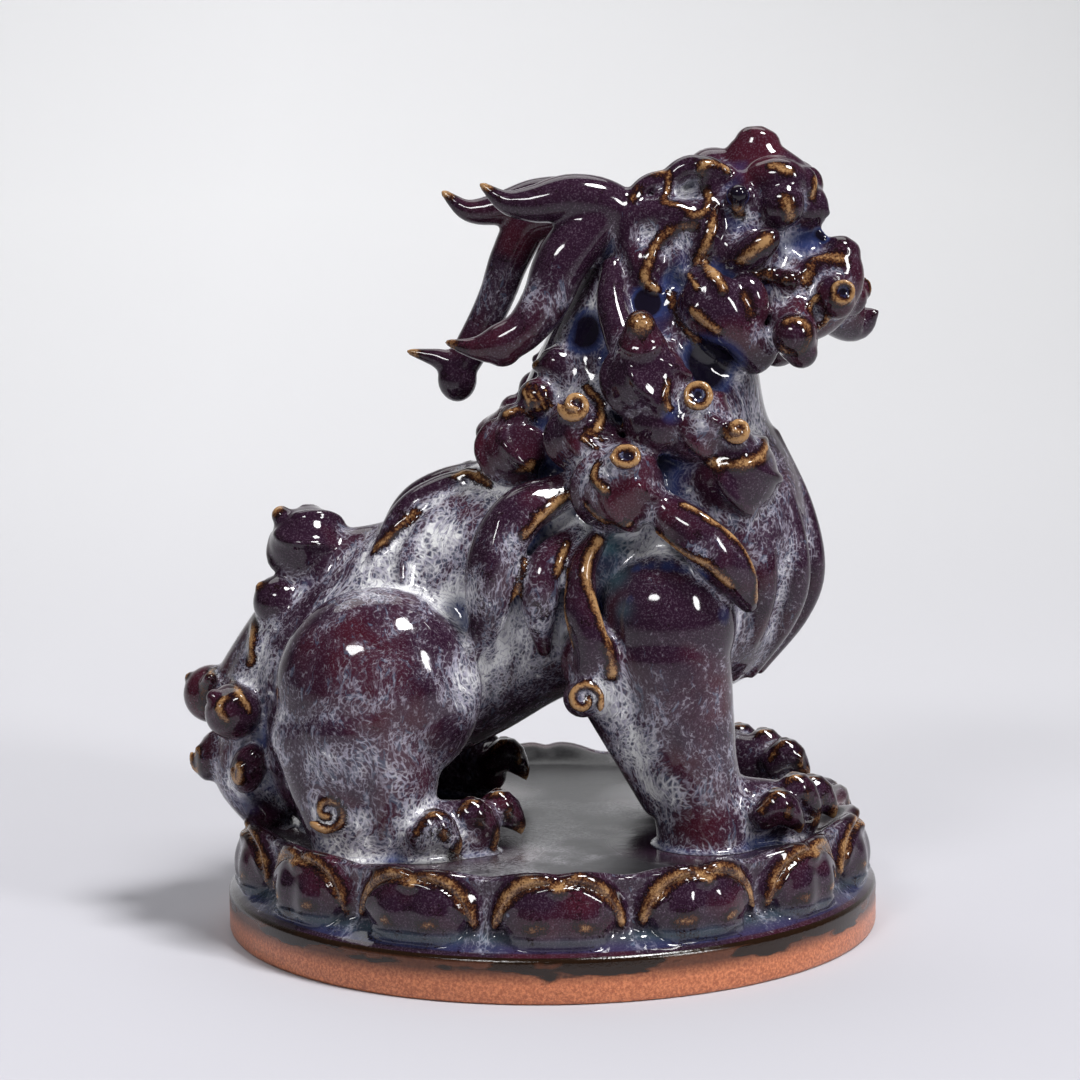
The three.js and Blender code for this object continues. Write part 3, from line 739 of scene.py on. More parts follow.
# Where the milky glaze has gathered: a place on the right side, how far it spreads, how thick it is.
MILK = [
    (-46, -22, 97, 16, 0.75), (-30, -14, 108, 12, 0.75), (-28, -30, 95, 11, 0.65),
    (-14, -33, 79, 13, 0.8), (-22, -26, 70, 10, 0.8), (-4, -36, 90, 9, 0.7), (29, -42, 109.5, 7, 1.1),
    (20, -41, 112, 5, 1.0), (38, -42, 106, 5, 1.0), (4, -34, 114, 4, 1.0), (-11, -40, 109, 5, 0.5),
    (-15, -42, 98, 4, 0.55), (-21, -31, 95, 7, 0.9), (-13, -32, 87, 6, 1.0), (-5, -34, 88, 6, 0.8),
    (14, -41, 68, 7, 0.9), (21, -42, 56, 8, 1.0), (27, -40, 44, 8, 0.9), (40, -45, 48, 9, 0.3),
    (48, -42, 66, 8, 0.3), (62, -18, 104, 15, 0.25), (60, -20, 84, 12, 0.25), (54, -18, 140, 10, 0.5),
    (-47, -50, 54, 14, 0.35), (-48, -50, 70, 18, 0.15), (-62, -44, 54, 9, 0.5), (-40, -50, 44, 9, 0.6),
    (-57, -44, 33, 10, 0.75), (-30, -46, 31, 10, 0.7), (-2, -21, 176, 10, 0.5), (-16, 18, 172, 12, 0.5),
    (12, -24, 171, 4.5, 0.8), (38, -38, 142, 6, 0.5), (11, -38, 128, 8, 0.5), (8, -22, 152, 6, 0.4),
    (-16, -14, 122, 10, 0.7), (-80, -8, 74, 10, 0.7), (-88, -16, 40, 9, 0.6), (-76, -22, 56, 8, 0.6),
    (24, -42, 150, 6, 0.35), (18, -46, 127, 6, 0.3), (6, -26, 116, 7, 0.5),
]
FACE_MILK = [
    (1, -17, 21, 5, 0.8), (18.5, -14, 13.5, 3.4, 0.45), (14.6, -16, 9, 3, 0.35), (27, -11, 6, 4.5, 0.4),
    (28, -15, -9, 5, 0.4), (-11, -20, 10, 5, 0.25), (22, -18, -18, 5, 0.4),
]

# Where the glaze lies dark, with little milk in it, in the same way.
CLEAR = [
    (56, 0, 212, 12, 0.6), (5, -16, 199, 17, 0.4), (-6, 14, 198, 17, 0.4), (34, -46, 88, 13, 0.2),
    (25, -38, 154, 8, 0.5), (28, -38, 141, 8, 0.5), (48, -37, 127, 9, 0.5), (18, -44, 122, 6, 0.3),
    (-9, -24, 132, 9, 0.5), (-22, -18, 160, 8, 0.4), (-32, 18, 152, 9, 0.4), (40, -44, 110, 6, 0.3),
    (10, -41, 88, 7, 0.5), (52, -20, 196, 12, 0.35), (52, -28, 176, 12, 0.3), (72, -12, 188, 5, 0.5),
    (28, -24, 174, 7, 0.6), (-67, 0, 108, 9, 0.5), (-90, 0, 64, 12, 0.3),
]

# Where other colours have pooled, and where shade is painted black into hollows and gaps: for each, a place
# of the right side, how far, how strong.
POOLS = {
    "teal": [
        (14.5, -40, 109, 4.6, 1.0), (16.5, -41, 100, 4, 0.8), (18, -42, 92, 3, 0.4),
    ],
    # Up to a strength of about 2 these are blue pools; the strong spots are painted shade, black in gaps and
    # dents that lie in shadow.
    "blue_black_and_painted_shade": [
        (22, -44, 103.6, 3, 2.0), (30, -45, 104, 3.4, 2.2), (39, -44, 101.5, 3.4, 2.2),
        (45, -40, 90, 5, 1.7), (20, -44, 95, 3, 1.5), (32, -33, 143, 5, 2.0), (43, -22, 155, 8, 5.5),
        (9.5, -22, 164, 6, 5.0), (26, -25, 171.5, 3.6, 8.0), (73.4, -10, 188.5, 2.2, 7.0),
        (38.2, -42, 148, 1.7, 4.5), (19.6, -47, 133, 1.7, 4.5), (77.8, -24, 173.7, 1.6, 4.5),
        (26, -44.5, 104.3, 3, 1.9), (34.5, -45, 103, 3, 1.9), (-62, -38, 30, 7, 1.5),
        (-86, -6, 34, 9, 1.6),
    ],
}


def spread(co, place, size):
    """1 at the place, and less with distance from it."""
    return np.exp(-((np.linalg.norm(co - np.array(place), axis=1) / size) ** 2))


def pool_field(co, name, start):
    """How much of a colour has pooled at each point, no less than at the start."""
    field = np.array(start, float)
    for *place, size, strength in POOLS[name]:
        for at in SIDES:
            field = np.maximum(field, strength * spread(co, at(laid(place, 0, BODY_OFF)), size))
    return field


def milk_field(co):
    """How thick the milk lies at each point, and below 0 where the glaze is clear."""
    field = np.zeros(len(co))
    pools = [(at(laid(place, 0, BODY_OFF)), size, thick) for *place, size, thick in MILK for at in SIDES]
    pools += [(at(laid(head(place), 0, FACE_OFF)), size, thick)
              for *place, size, thick in FACE_MILK for at in CHEEKS]
    for place, size, thick in pools:
        field = np.maximum(field, thick * spread(co, place, size))
    for *place, size, clear in CLEAR:
        for at in SIDES:
            field -= clear * spread(co, at(laid(place, 0, BODY_OFF)), size)
    return field


# The beast: all its clay joined, with the plinth's top under its feet so that the glaze runs onto it.
def make_beast():
    slab, slab_faces = round_form("create_uvsphere", u_segments=160, v_segments=32)
    slab = slab * SLAB
    slab[:, 2] = np.clip(slab[:, 2], -SLAB_THICK, 0)
    clay.append((slab + (-BEAST_FORWARD, 0, TOP_Z), slab_faces))
    corners, faces = joined_clay()
    shape = bpy.data.meshes.new("clay")
    shape.from_pydata(corners, [], faces)
    whole = mesh_with(shape, "clay", [("REMESH", {"mode": "VOXEL", "voxel_size": CELL, "adaptivity": 0})])
    co, ring, normals = pooled(whole, FILL_STEPS, SMOOTH_STEPS)
    scale = (FINE_CELL / CELL) ** 2
    near, wide = (hollow_field(co, ring, normals, int(steps * scale), int(rest * scale) + 1)
                  for steps, rest in (NEAR_HOLLOWS, WIDE_HOLLOWS))
    tree = tree_of(co)

    # Only what stands above the plinth's top is kept, closed below and made lighter.
    body = bmesh.new()
    body.from_mesh(whole)
    everything = body.verts[:] + body.edges[:] + body.faces[:]
    bmesh.ops.bisect_plane(
        body, geom=everything, plane_co=(0, 0, TOP_Z + 0.1), plane_no=(0, 0, 1), clear_inner=True)
    bmesh.ops.holes_fill(body, edges=[e for e in body.edges if e.is_boundary], sides=0)
    bmesh.ops.triangulate(body, faces=body.faces)
    shape = bpy.data.meshes.new("beast")
    body.to_mesh(shape)
    body.free()
    bpy.data.meshes.remove(whole)
    share = min(1.0, BEAST_TRIANGLES / len(shape.polygons))
    beast_mesh = mesh_with(shape, "beast", [("DECIMATE", {"ratio": share})])
    beast_mesh.validate()
    co, _ = arrays_of(beast_mesh)
    nearest = np.array([tree.find(p)[1] for p in co])
    milk = milk_field(co)
    # Blue gathers in the wide hollows, and the deepest are painted black as shade; the eyes are black beads.
    blue_black_and_painted_shade = pool_field(co, "blue_black_and_painted_shade", wide[nearest] - MILK_OVER_BLUE_AND_SHADE * milk)
    for eye in eyes:
        blue_black_and_painted_shade = np.maximum(blue_black_and_painted_shade, EYE_DARK - EYE_FADE * np.linalg.norm(co - np.array(eye), axis=1))
    put(beast_mesh, "pool", near[nearest])
    put(beast_mesh, "teal", pool_field(co, "teal", np.zeros(len(co))))
    put(beast_mesh, "blue_black_and_painted_shade", blue_black_and_painted_shade)
    put(beast_mesh, "thin", thin_field(co))
    put(beast_mesh, "milk", milk)
    co[:, 0] += BEAST_FORWARD
    return beast_mesh, co


def finish_piece(mesh, co, name, materials):
    """The piece as one object in metres, with its materials, riding on the one fixed body."""
    mesh.vertices.foreach_set("co", (co * MM).ravel())
    mesh.update()
    mesh.name = name
    mesh.materials.clear()
    for material in materials:
        mesh.materials.append(material)
    mesh.shade_smooth()
    piece = object_with(name, mesh)
    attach(piece, "root")
    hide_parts(NODE)


# The plinth: its section is spun, and each petal's relief is drawn out of the wall.
PETAL_HALF = pi * BODY_R / PETALS
ARCH_HALF = 16.1
ARCH_LOW = 12.6
ARCH_TOP = 30.8
ARCH_NOTCH = 1.4
ARCH_SHAPE = 2.5
BORDER_RISE = 2.2
BORDER_WIDE = 2.0
BORDER_LOW = 15.0
CUSHION_SWELL = 6.2
CUSHION_MIDDLE = 19.8
CUSHION_HALF = 9.8
# The rim: how wide its fall to the flat top is, its rounded lip, and how far the wall stops below it.
RIM_WIDE = 13.5
LIP = 1.3
EDGE_DROP = 0.8
# The wall: where it leaves the foot, how it flares there, and how it leans out towards the rim.
WALL_FROM = 12.2
WALL_LOW = 12.3
WALL_LOW_R = 88.4
FLARE_HIGH = 4.6
LEAN_FROM = 26.0
LEAN_OUT = 1.8
# Columns of corners to a petal, rows of the rim that count as the glossy edge, and the glaze's halo.
PETAL_COLUMNS = 72
EDGE_ROWS = 8
HALO = 14


def petal_tip(x):
    """Height of a petal's upper edge, x millimetres from its middle."""
    dip = 0.5 - 0.5 * np.cos(pi * np.clip(np.abs(x) / PETAL_HALF, 0, 1))
    return TIP_Z + 0.2 - GAP_DEPTH * dip**2.2 - CROWN_NOTCH * np.exp(-((x / 2.6) ** 2))


def petal_relief(x, z):
    """How far a petal's surface stands out of the wall, how near it is to the arch's border, how far
    outside the border, and whether within it."""
    notch = ARCH_NOTCH * np.exp(-((x / 2.4) ** 2))
    aside = (np.abs(x) / ARCH_HALF) ** ARCH_SHAPE
    above = (np.clip(z - ARCH_LOW, 0, None) / (ARCH_TOP - notch - ARCH_LOW)) ** ARCH_SHAPE
    off = ((aside + above) ** 0.4 - 1) * 13.5
    taper = np.clip((z - BORDER_LOW) / 9, 0, 1)
    arch = np.exp(-((off / (BORDER_WIDE * (0.5 + 0.5 * taper))) ** 2)) * np.clip((z - BORDER_LOW) / 4, 0, 1)
    inside = np.clip(-off / 11.6 - 0.14, 0, 1)
    lobes = 1 + 0.1 * np.cos(pi * x / 6.2 - pi) * np.exp(-((x / 9) ** 2))
    dome = np.clip(1 - (x / (ARCH_HALF - 2.0)) ** 2 - ((z - CUSHION_MIDDLE) / CUSHION_HALF) ** 2, 0, 1)
    cushion = CUSHION_SWELL * np.sqrt(dome) * lobes
    low = np.clip((z - 13.2) / 2.8, 0, 1)
    gap = 0.9 * np.clip(off / 2.4, 0, 1) * np.clip((z - 14) / 4, 0, 1)
    return arch * BORDER_RISE + cushion * low**0.6 - gap, arch, off, inside


def wall_radius(x, z):
    """How far the wall stands from the plinth's middle, and how near it is to an arch's border."""
    lean = np.clip((z - LEAN_FROM) / (TIP_Z - LEAN_FROM), 0, 1)
    flare = (1 - np.clip((z - WALL_LOW) / FLARE_HIGH, 0, 1)) ** 1.35
    relief, arch, _, _ = petal_relief(x, z)
    return BODY_R + (WALL_LOW_R - BODY_R) * flare + LEAN_OUT * lean**1.4 + relief, arch


def x_of(angle):
    """How far a direction is from the middle of its petal, along the wall."""
    half = tau / PETALS / 2
    return ((angle - FIRST_PETAL + half) % (tau / PETALS) - half) / half * PETAL_HALF


def make_plinth():
    foot = [(0, 0), (45, 0), (80, 0), (88.8, 0), (89.7, 0.3), (FOOT_R, 1.1), (FOOT_R, 4), (FOOT_R, 8),
            (FOOT_R, 10.6), (89.8, 11.3), (89.1, 11.9)]
    wall = np.linspace(0, 1, 40)[1:]
    rim = np.linspace(0, 1, 11)[1:]
    top = [66, 58, 48, 36, 24, 12, 0]
    rows = len(foot) + len(wall) + len(rim) + len(top)
    body = bmesh.new()
    bmesh.ops.create_grid(body, x_segments=PETALS * PETAL_COLUMNS, y_segments=rows - 1, size=0.5)
    shape = bpy.data.meshes.new("plinth")
    body.to_mesh(shape)
    body.free()
    co, _ = arrays_of(shape)
    angle = (co[:, 0] + 0.5) * tau
    row = np.round((co[:, 1] + 0.5) * (rows - 1)).astype(int)
    x = x_of(angle)
    tip = petal_tip(x)
    radius, height, thin_here = np.zeros((3, len(co)))
    for k, (r, z) in enumerate(foot):
        radius[row == k], height[row == k] = r, z
    for k, share_up in enumerate(wall, len(foot)):
        here = row == k
        z = WALL_LOW + share_up * (tip[here] - EDGE_DROP - WALL_LOW)
        height[here] = z
        radius[here], arch = wall_radius(x[here], z)
        # Two amber spots on each cushion.
        spot = np.exp(-(((np.abs(x[here]) - 6) / 2.6) ** 2) - ((z - 19) / 1.5) ** 2)
        thin_here[here] = np.maximum(np.clip(arch * 1.7 - 0.5, 0, 1), 1.1 * spot)
    for k, share_in in enumerate(rim, len(foot) + len(wall)):
        here = row == k
        inward = share_in * RIM_WIDE
        radius[here] = wall_radius(x[here], tip[here] - EDGE_DROP)[0] - inward
        crest = np.sqrt(np.clip(1 - ((inward - LIP) / LIP) ** 2, 0, 1)) * EDGE_DROP - EDGE_DROP
        lip = np.where(inward < LIP, crest, 0)
        fall = np.clip((inward - LIP) / 9.5, 0, 1)
        fall = fall * fall * (3 - 2 * fall)
        height[here] = (tip[here] + lip) * (1 - fall) + TOP_Z * fall
        thin_here[here] = np.clip(0.9 - inward / 2.6, 0, 1) * (np.abs(x[here]) < 0.9 * PETAL_HALF)
    for k, r in enumerate(top, rows - len(top)):
        radius[row == k], height[row == k] = r, TOP_Z
    co = np.column_stack([radius * np.cos(angle), radius * np.sin(angle), height])
    shape.vertices.foreach_set("co", co.ravel())
    shape.update()
    put(shape, "row", row)
    put(shape, "thin", thin_here)
    # The seam where the sheet meets itself is joined.
    body = bmesh.new()
    body.from_mesh(shape)
    bmesh.ops.remove_doubles(body, verts=[v for v in body.verts if v.is_boundary], dist=0.01)
    bmesh.ops.recalc_face_normals(body, faces=body.faces)
    body.to_mesh(shape)
    body.free()
    co, _ = arrays_of(shape)
    row = np.empty(len(co), np.float32)
    shape.attributes["row"].data.foreach_get("value", row)
    row = np.round(row).astype(int)
    shape.attributes.remove(shape.attributes["row"])
    # The glaze is thin on the arches, thick and dark on the cushions, and frothy between the petals.
    height = co[:, 2]
    x = x_of(np.arctan2(co[:, 1], co[:, 0]))
    _, arch, off, inside = petal_relief(x, height)
    edge = rows - len(top) - EDGE_ROWS
    wall_here = (height > WALL_FROM) & (row < edge)
    crease = np.exp(-(((off + 3.4) / 1.2) ** 2)) + np.clip(off / 1.5 - 0.6, 0, 1)
    put(shape, "pool", np.where(wall_here, 0.12 * crease - 0.12 - 0.4 * arch - 0.3 * (inside > 0.05), -0.25))
    put(shape, "blue_black_and_painted_shade", np.where(wall_here, 1.55 * np.clip((18.5 - height) / 5, 0, 1), 0))
    froth = 0.22 * np.clip((np.abs(x) / PETAL_HALF - 0.84) / 0.12, 0, 1) * np.clip((27 - height) / 6, 0, 1)
    put(shape, "milk", np.where(wall_here, froth - 0.45 * (inside > 0.05), -0.2))
    return shape, co, (row >= edge) & (height > TOP_Z - 0.5)


def halo_of(co, beast_co):
    """1 at the beast's feet, falling to 0 at the halo's edge."""
    tree = tree_of(beast_co[beast_co[:, 2] < TOP_Z + 1.0])
    return np.array([np.clip(1 - tree.find(p)[2] / HALO, 0, 1) if p[2] > TOP_Z - 1 else 0.0 for p in co])


# Materials.
def paint(code):
    """An sRGB hex colour as the linear colour that a shader takes."""
    parts = [int(code[k:k + 2], 16) / 255 for k in (1, 3, 5)]
    return (*[c / 12.92 if c <= 0.04045 else ((c + 0.055) / 1.055) ** 2.4 for c in parts], 1)


def add(tree, kind, inputs=(), out=0, **settings):
    """Adds a node with its settings, values and links, and gives one of its outputs. The inputs come
    in their order, or each with its name or number."""
    made = tree.nodes.new(kind)
    for name, value in settings.items():
        setattr(made, name, value)
    for key, value in inputs.items() if isinstance(inputs, dict) else enumerate(inputs):
        if isinstance(value, bpy.types.NodeSocket):
            tree.links.new(value, made.inputs[key])
        else:
            made.inputs[key].default_value = value
    return made.outputs[out] if made.outputs else None


def new_material(name):
    """A material, its empty tree, and the place on the piece in metres."""
    material = bpy.data.materials.new(name)
    material.use_nodes = True
    tree = material.node_tree
    tree.nodes.clear()
    return material, tree, add(tree, "ShaderNodeTexCoord", out="Object")


def glaze():
    """A thick flambe glaze: aubergine where it is thick, with milky runs and lace that gather in
    the hollows, blue in the deepest pools, and amber where it has run thin over a crest."""
    material, tree, place = new_material("flambe_glaze_over_stoneware")
    mm = add(tree, "ShaderNodeVectorMath", {0: place, "Scale": 1 / MM}, operation="SCALE")
    field = {name: add(tree, "ShaderNodeAttribute", out="Fac", attribute_name=name)
             for name in ("pool", "blue_black_and_painted_shade", "thin", "milk", "satin", "teal")}

    # Each pattern's scale is 1 over its size in millimetres. Slow drifts of 20 mm and swirls of
    # 6 mm bend every finer pattern, as the melt moved.
    drift = add(tree, "ShaderNodeTexNoise", {"Vector": mm, "Scale": 0.05, "Detail": 1.0}, "Color")
    bent = add(tree, "ShaderNodeVectorMath", (drift, (12.0, 12.0, 12.0), mm), operation="MULTIPLY_ADD")
    swirl = add(tree, "ShaderNodeTexNoise", {"Vector": bent, "Scale": 0.16, "Detail": 2.0}, "Color")
    swum = add(tree, "ShaderNodeVectorMath", (swirl, (5.0, 5.0, 5.0), bent), operation="MULTIPLY_ADD")
    # Runs: the pattern is four times as long down the piece as across it.
    runs = add(tree, "ShaderNodeVectorMath", (swum, (1.0, 1.0, 0.25)), operation="MULTIPLY")

    # The noises that show, with the size that each is drawn at.
    noise = {name: add(tree, "ShaderNodeTexNoise", {
        "Vector": along, "Scale": scale, "Detail": detail, "Roughness": rough, "Distortion": twist})
        for name, along, scale, detail, rough, twist in (
            ("clouds", bent, 0.04, 2.0, 0.5, 0.0),  # 25 mm
            ("patches", swum, 0.12, 4.0, 0.6, 0.0),  # 8 mm
            ("speckle", mm, 2.0, 2.0, 0.7, 0.0),  # 0.5 mm, drawn as coarse as it needs to show
            ("marble", runs, 0.42, 3.5, 0.6, 1.2),  # 2.4 mm
            ("broken", bent, 0.8, 2.0, 0.6, 0.0),  # 1.3 mm
            ("thread", runs, 0.2, 3.0, 0.55, 0.0),  # 5 mm
            ("speck", mm, 1.6, 3.0, 0.75, 0.0),  # 0.6 mm
            ("uneven", mm, 0.24, 2.0, 0.5, 0.0),  # 4 mm
            ("grain_and_painted_sheen", mm, 1.1, 3.0, 0.75, 0.0),  # 0.9 mm
            ("painted_shade_smudge", mm, 0.02, 4.0, 0.6, 0.0),  # 50 mm
            ("swell", mm, 0.16, 2.0, 0.5, 0.0),  # 6 mm
        )}

    # How thick the milk lies: the hollows, the patches of 8 mm and the gathered pools.
    hollow = add(tree, "ShaderNodeMapRange", (field["pool"], -0.3, 0.4, -0.42, 0.3))
    patch = add(tree, "ShaderNodeMapRange", (noise["patches"], 0.32, 0.68, -0.28, 0.28))
    milk = add(tree, "ShaderNodeMath", (hollow, patch), operation="ADD")
    milk = add(tree, "ShaderNodeMath", (milk, field["milk"]), operation="ADD")

    # Marbled runs of milk, 2.4 mm wide, blue-grey at their edges and white within.
    marble = add(tree, "ShaderNodeMath", (milk, 0.36, noise["marble"]), operation="MULTIPLY_ADD")

    # Lace: the rims of cells 1.5 mm wide, whole where the milk is thick and broken into short
    # worms and dots where it is thin.
    cells = add(tree, "ShaderNodeTexVoronoi", {"Vector": bent, "Scale": 0.66}, feature="DISTANCE_TO_EDGE")
    rim = add(tree, "ShaderNodeMapRange", (milk, -0.5, 0.6, 0.09, 0.26))
    lace = add(tree, "ShaderNodeMath", (cells, rim), operation="DIVIDE")
    lace = add(tree, "ShaderNodeMath", (1.0, lace), operation="SUBTRACT", use_clamp=True)
    whole = add(tree, "ShaderNodeMath", (milk, 0.3, noise["broken"]), operation="MULTIPLY_ADD")
    for value, low, high, least, most in ((whole, 0.46, 0.64, 0.0, 1.0), (milk, -0.5, 0.5, 0.42, 0.95)):
        share = add(tree, "ShaderNodeMapRange", (value, low, high, least, most))
        lace = add(tree, "ShaderNodeMath", (lace, share), operation="MULTIPLY")
    whiter = add(tree, "ShaderNodeMapRange", (milk, 0.1, 0.8))
    lace_tone = add(tree, "ShaderNodeMix", {
        0: whiter, 6: paint("#a9a3b0"), 7: paint("#e6e6e8")}, 2, data_type="RGBA")

    # Pale threads that follow the creases, about 0.6 mm apart.
    thread = add(tree, "ShaderNodeMath", (noise["thread"], 50.0), operation="MULTIPLY")
    thread = add(tree, "ShaderNodeMath", (field["pool"], 36.0, thread), operation="MULTIPLY_ADD")
    thread = add(tree, "ShaderNodeMath", (thread,), operation="SINE")
    thread = add(tree, "ShaderNodeMapRange", (thread, 0.55, 1.0))
    near = add(tree, "ShaderNodeMapRange", (milk, -0.15, 0.25, 0.0, 0.75))
    thread = add(tree, "ShaderNodeMath", (thread, near), operation="MULTIPLY")

    # How thin the glaze has run, uneven by specks of 0.6 mm and patches of 4 mm.
    crest = add(tree, "ShaderNodeMapRange", (field["pool"], -0.8, -0.1, 0.4, 0.0))
    bare = add(tree, "ShaderNodeMath", (field["thin"], 0.85, crest), operation="MULTIPLY_ADD")
    for name, middle, weight in (("speck", 0.5, 1.7), ("uneven", 0.53, 1.2)):
        pattern = add(tree, "ShaderNodeMath", (noise[name], middle), operation="SUBTRACT")
        bare = add(tree, "ShaderNodeMath", (pattern, weight, bare), operation="MULTIPLY_ADD")

    # The plinth's flat top is a satin grey, with fine pale grain that also paints its sheen, and darker
    # smudges 50 mm wide that are painted shade and dark reflection.
    grey = paint("#232125")
    for name, low, high, most, tone in (
            ("grain_and_painted_sheen", 0.35, 0.65, 1.0, "#a5a3a8"), ("painted_shade_smudge", 0.45, 0.55, 0.95, "#141216")):
        share = add(tree, "ShaderNodeMapRange", (noise[name], low, high, 0.0, most))
        grey = add(tree, "ShaderNodeMix", {0: share, 6: grey, 7: paint(tone)}, 2, data_type="RGBA")

    # The colour from the ground up. Each layer comes in while its value runs from low to high, and
    # covers as much as most: oxblood clouds on aubergine, violet towards the milk, speckle, marble,
    # lace, threads, the teal and blue pools, painted shade that blackens the deepest hollows along with
    # the black eyes, then amber with a dark edge, russet, and ochre on the very crest, and last the
    # satin top with its painted sheen and shade.
    teal = add(tree, "ShaderNodeMath", (field["teal"], 0.75), operation="MULTIPLY")
    colour = paint("#281425")
    for value, low, high, most, tone in (
        (noise["clouds"], 0.48, 0.64, 1.0, "#3d1421"),
        (milk, -0.3, 0.5, 0.85, "#4c3d4d"),
        (noise["speckle"], 0.52, 0.72, 0.28, "#8a7688"),
        (marble, 0.56, 0.61, 0.8, "#4a5164"),
        (marble, 0.64, 0.69, 0.8, "#86838f"),
        (marble, 0.73, 0.8, 1.0, "#e8e8e8"),
        (lace, 0.0, 1.0, 1.0, lace_tone),
        (thread, 0.0, 1.0, 1.0, "#a7a3b4"),
        (teal, 0.0, 1.0, 1.0, "#4c7480"),
        (field["blue_black_and_painted_shade"], 1.1, 2.0, 0.8, "#2b3966"),
        # Painted shade: nearly black in the deepest hollows and in shadowed gaps, and the eyes' own black.
        (field["blue_black_and_painted_shade"], 2.1, 3.2, 0.94, "#120a14"),
        (bare, 0.2, 0.55, 1.0, "#190b10"),
        (bare, 0.58, 1.0, 1.0, "#4f2d1b"),
        (bare, 0.88, 1.4, 1.0, "#a57f56"),
        (field["satin"], 0.0, 1.0, 1.0, grey),
    ):
        bend = "SMOOTHSTEP" if value is bare else "LINEAR"
        tone = paint(tone) if isinstance(tone, str) else tone
        share = add(tree, "ShaderNodeMapRange", (value, low, high, 0.0, most), interpolation_type=bend)
        colour = add(tree, "ShaderNodeMix", {0: share, 6: colour, 7: tone}, 2, data_type="RGBA")

    # The surface swells a very little under the glaze, and is satin on the plinth's top.
    rough = add(tree, "ShaderNodeMapRange", (field["satin"], 0.0, 1.0, 0.07, 0.32))
    bump = add(tree, "ShaderNodeBump", {"Height": noise["swell"], "Strength": 0.25, "Distance": 0.0004})
    shader = add(tree, "ShaderNodeBsdfPrincipled", {
        "Base Color": colour, "Roughness": rough, "Normal": bump, "IOR": 1.48})
    add(tree, "ShaderNodeOutputMaterial", {"Surface": shader})
    return material


def bare_foot():
    """The unglazed foot: orange-brown stoneware with dark specks, a brown wash that comes in over
    its upper half, and dark glossy runs of glaze in the wash."""
    material, tree, place = new_material("bare_stoneware_with_dark_runs")
    mm = add(tree, "ShaderNodeVectorMath", {0: place, "Scale": 1 / MM}, operation="SCALE")
    height = add(tree, "ShaderNodeSeparateXYZ", (mm,), 2)
    speck = add(tree, "ShaderNodeTexNoise", {"Vector": mm, "Scale": 1.3, "Detail": 3.0, "Roughness": 0.7})
    # The runs are 26 mm wide and a third as high, with soft edges, and meet under the foot's lip.
    flat = add(tree, "ShaderNodeVectorMath", (mm, (1.0, 1.0, 3.4)), operation="MULTIPLY")
    runs = add(tree, "ShaderNodeTexNoise", {"Vector": flat, "Scale": 0.038, "Detail": 3.0, "Roughness": 0.6})
    window = add(tree, "ShaderNodeMapRange", (height, 5.0, 9.0, -0.25, 0.06))
    over = add(tree, "ShaderNodeMath", (runs, window), operation="ADD")
    run = add(tree, "ShaderNodeMapRange", (over, 0.47, 0.53), interpolation_type="SMOOTHSTEP")
    lip = add(tree, "ShaderNodeMapRange", (height, 10.4, 11.2))
    run = add(tree, "ShaderNodeMath", (run, lip), operation="MAXIMUM")
    run_tone = add(tree, "ShaderNodeMix", {
        0: speck, 6: paint("#0e0705"), 7: paint("#2c1a0c")}, 2, data_type="RGBA")
    colour = paint("#a25a3c")
    for value, low, high, most, tone in (
            (speck, 0.4, 0.62, 1.0, "#d3845b"), (height, 5.0, 8.5, 0.9, "#3c2014")):
        share = add(tree, "ShaderNodeMapRange", (value, low, high, 0.0, most))
        colour = add(tree, "ShaderNodeMix", {0: share, 6: colour, 7: paint(tone)}, 2, data_type="RGBA")
    colour = add(tree, "ShaderNodeMix", {0: run, 6: colour, 7: run_tone}, 2, data_type="RGBA")
    rough = add(tree, "ShaderNodeMapRange", (run, 0.0, 1.0, 0.3, 0.1))
    bump = add(tree, "ShaderNodeBump", {"Height": speck, "Strength": 0.25, "Distance": 0.0003})
    shader = add(tree, "ShaderNodeBsdfPrincipled", {
        "Base Color": colour, "Roughness": rough, "Normal": bump, "IOR": 1.5})
    add(tree, "ShaderNodeOutputMaterial", {"Surface": shader})
    return material


def paper():
    """The studio's matt paper, with light and shade painted into its tone: painted paler towards the
    back, painted dark far in front as the unlit studio there, and painted a little greyer to the right."""
    material, tree, place = new_material("matt_white_paper")
    aside = add(tree, "ShaderNodeSeparateXYZ", (place,))
    forward = add(tree, "ShaderNodeSeparateXYZ", (place,), 1)
    tone = paint("#cac9d0")
    # Painted light and shade: paler towards the back, and dark far in front.
    for begin, end, code in ((0.0, 1.2, "#fdfdff"), (-0.18, -0.8, "#303032")):
        share = add(tree, "ShaderNodeMapRange", (forward, begin, end))
        tone = add(tree, "ShaderNodeMix", {0: share, 6: tone, 7: paint(code)}, 2, data_type="RGBA")
    # Painted shade: a little greyer to the right.
    share = add(tree, "ShaderNodeMapRange", (aside, -0.2, 0.6))
    grey = add(tree, "ShaderNodeMix", {
        0: share, 6: paint("#fafafa"), 7: paint("#dadada")}, 2, data_type="RGBA")
    tone = add(tree, "ShaderNodeMix", {0: 1.0, 6: tone, 7: grey}, 2, data_type="RGBA", blend_type="MULTIPLY")
    shader = add(tree, "ShaderNodeBsdfPrincipled", {"Base Color": tone, "Roughness": 0.9})
    add(tree, "ShaderNodeOutputMaterial", {"Surface": shader})
    return material


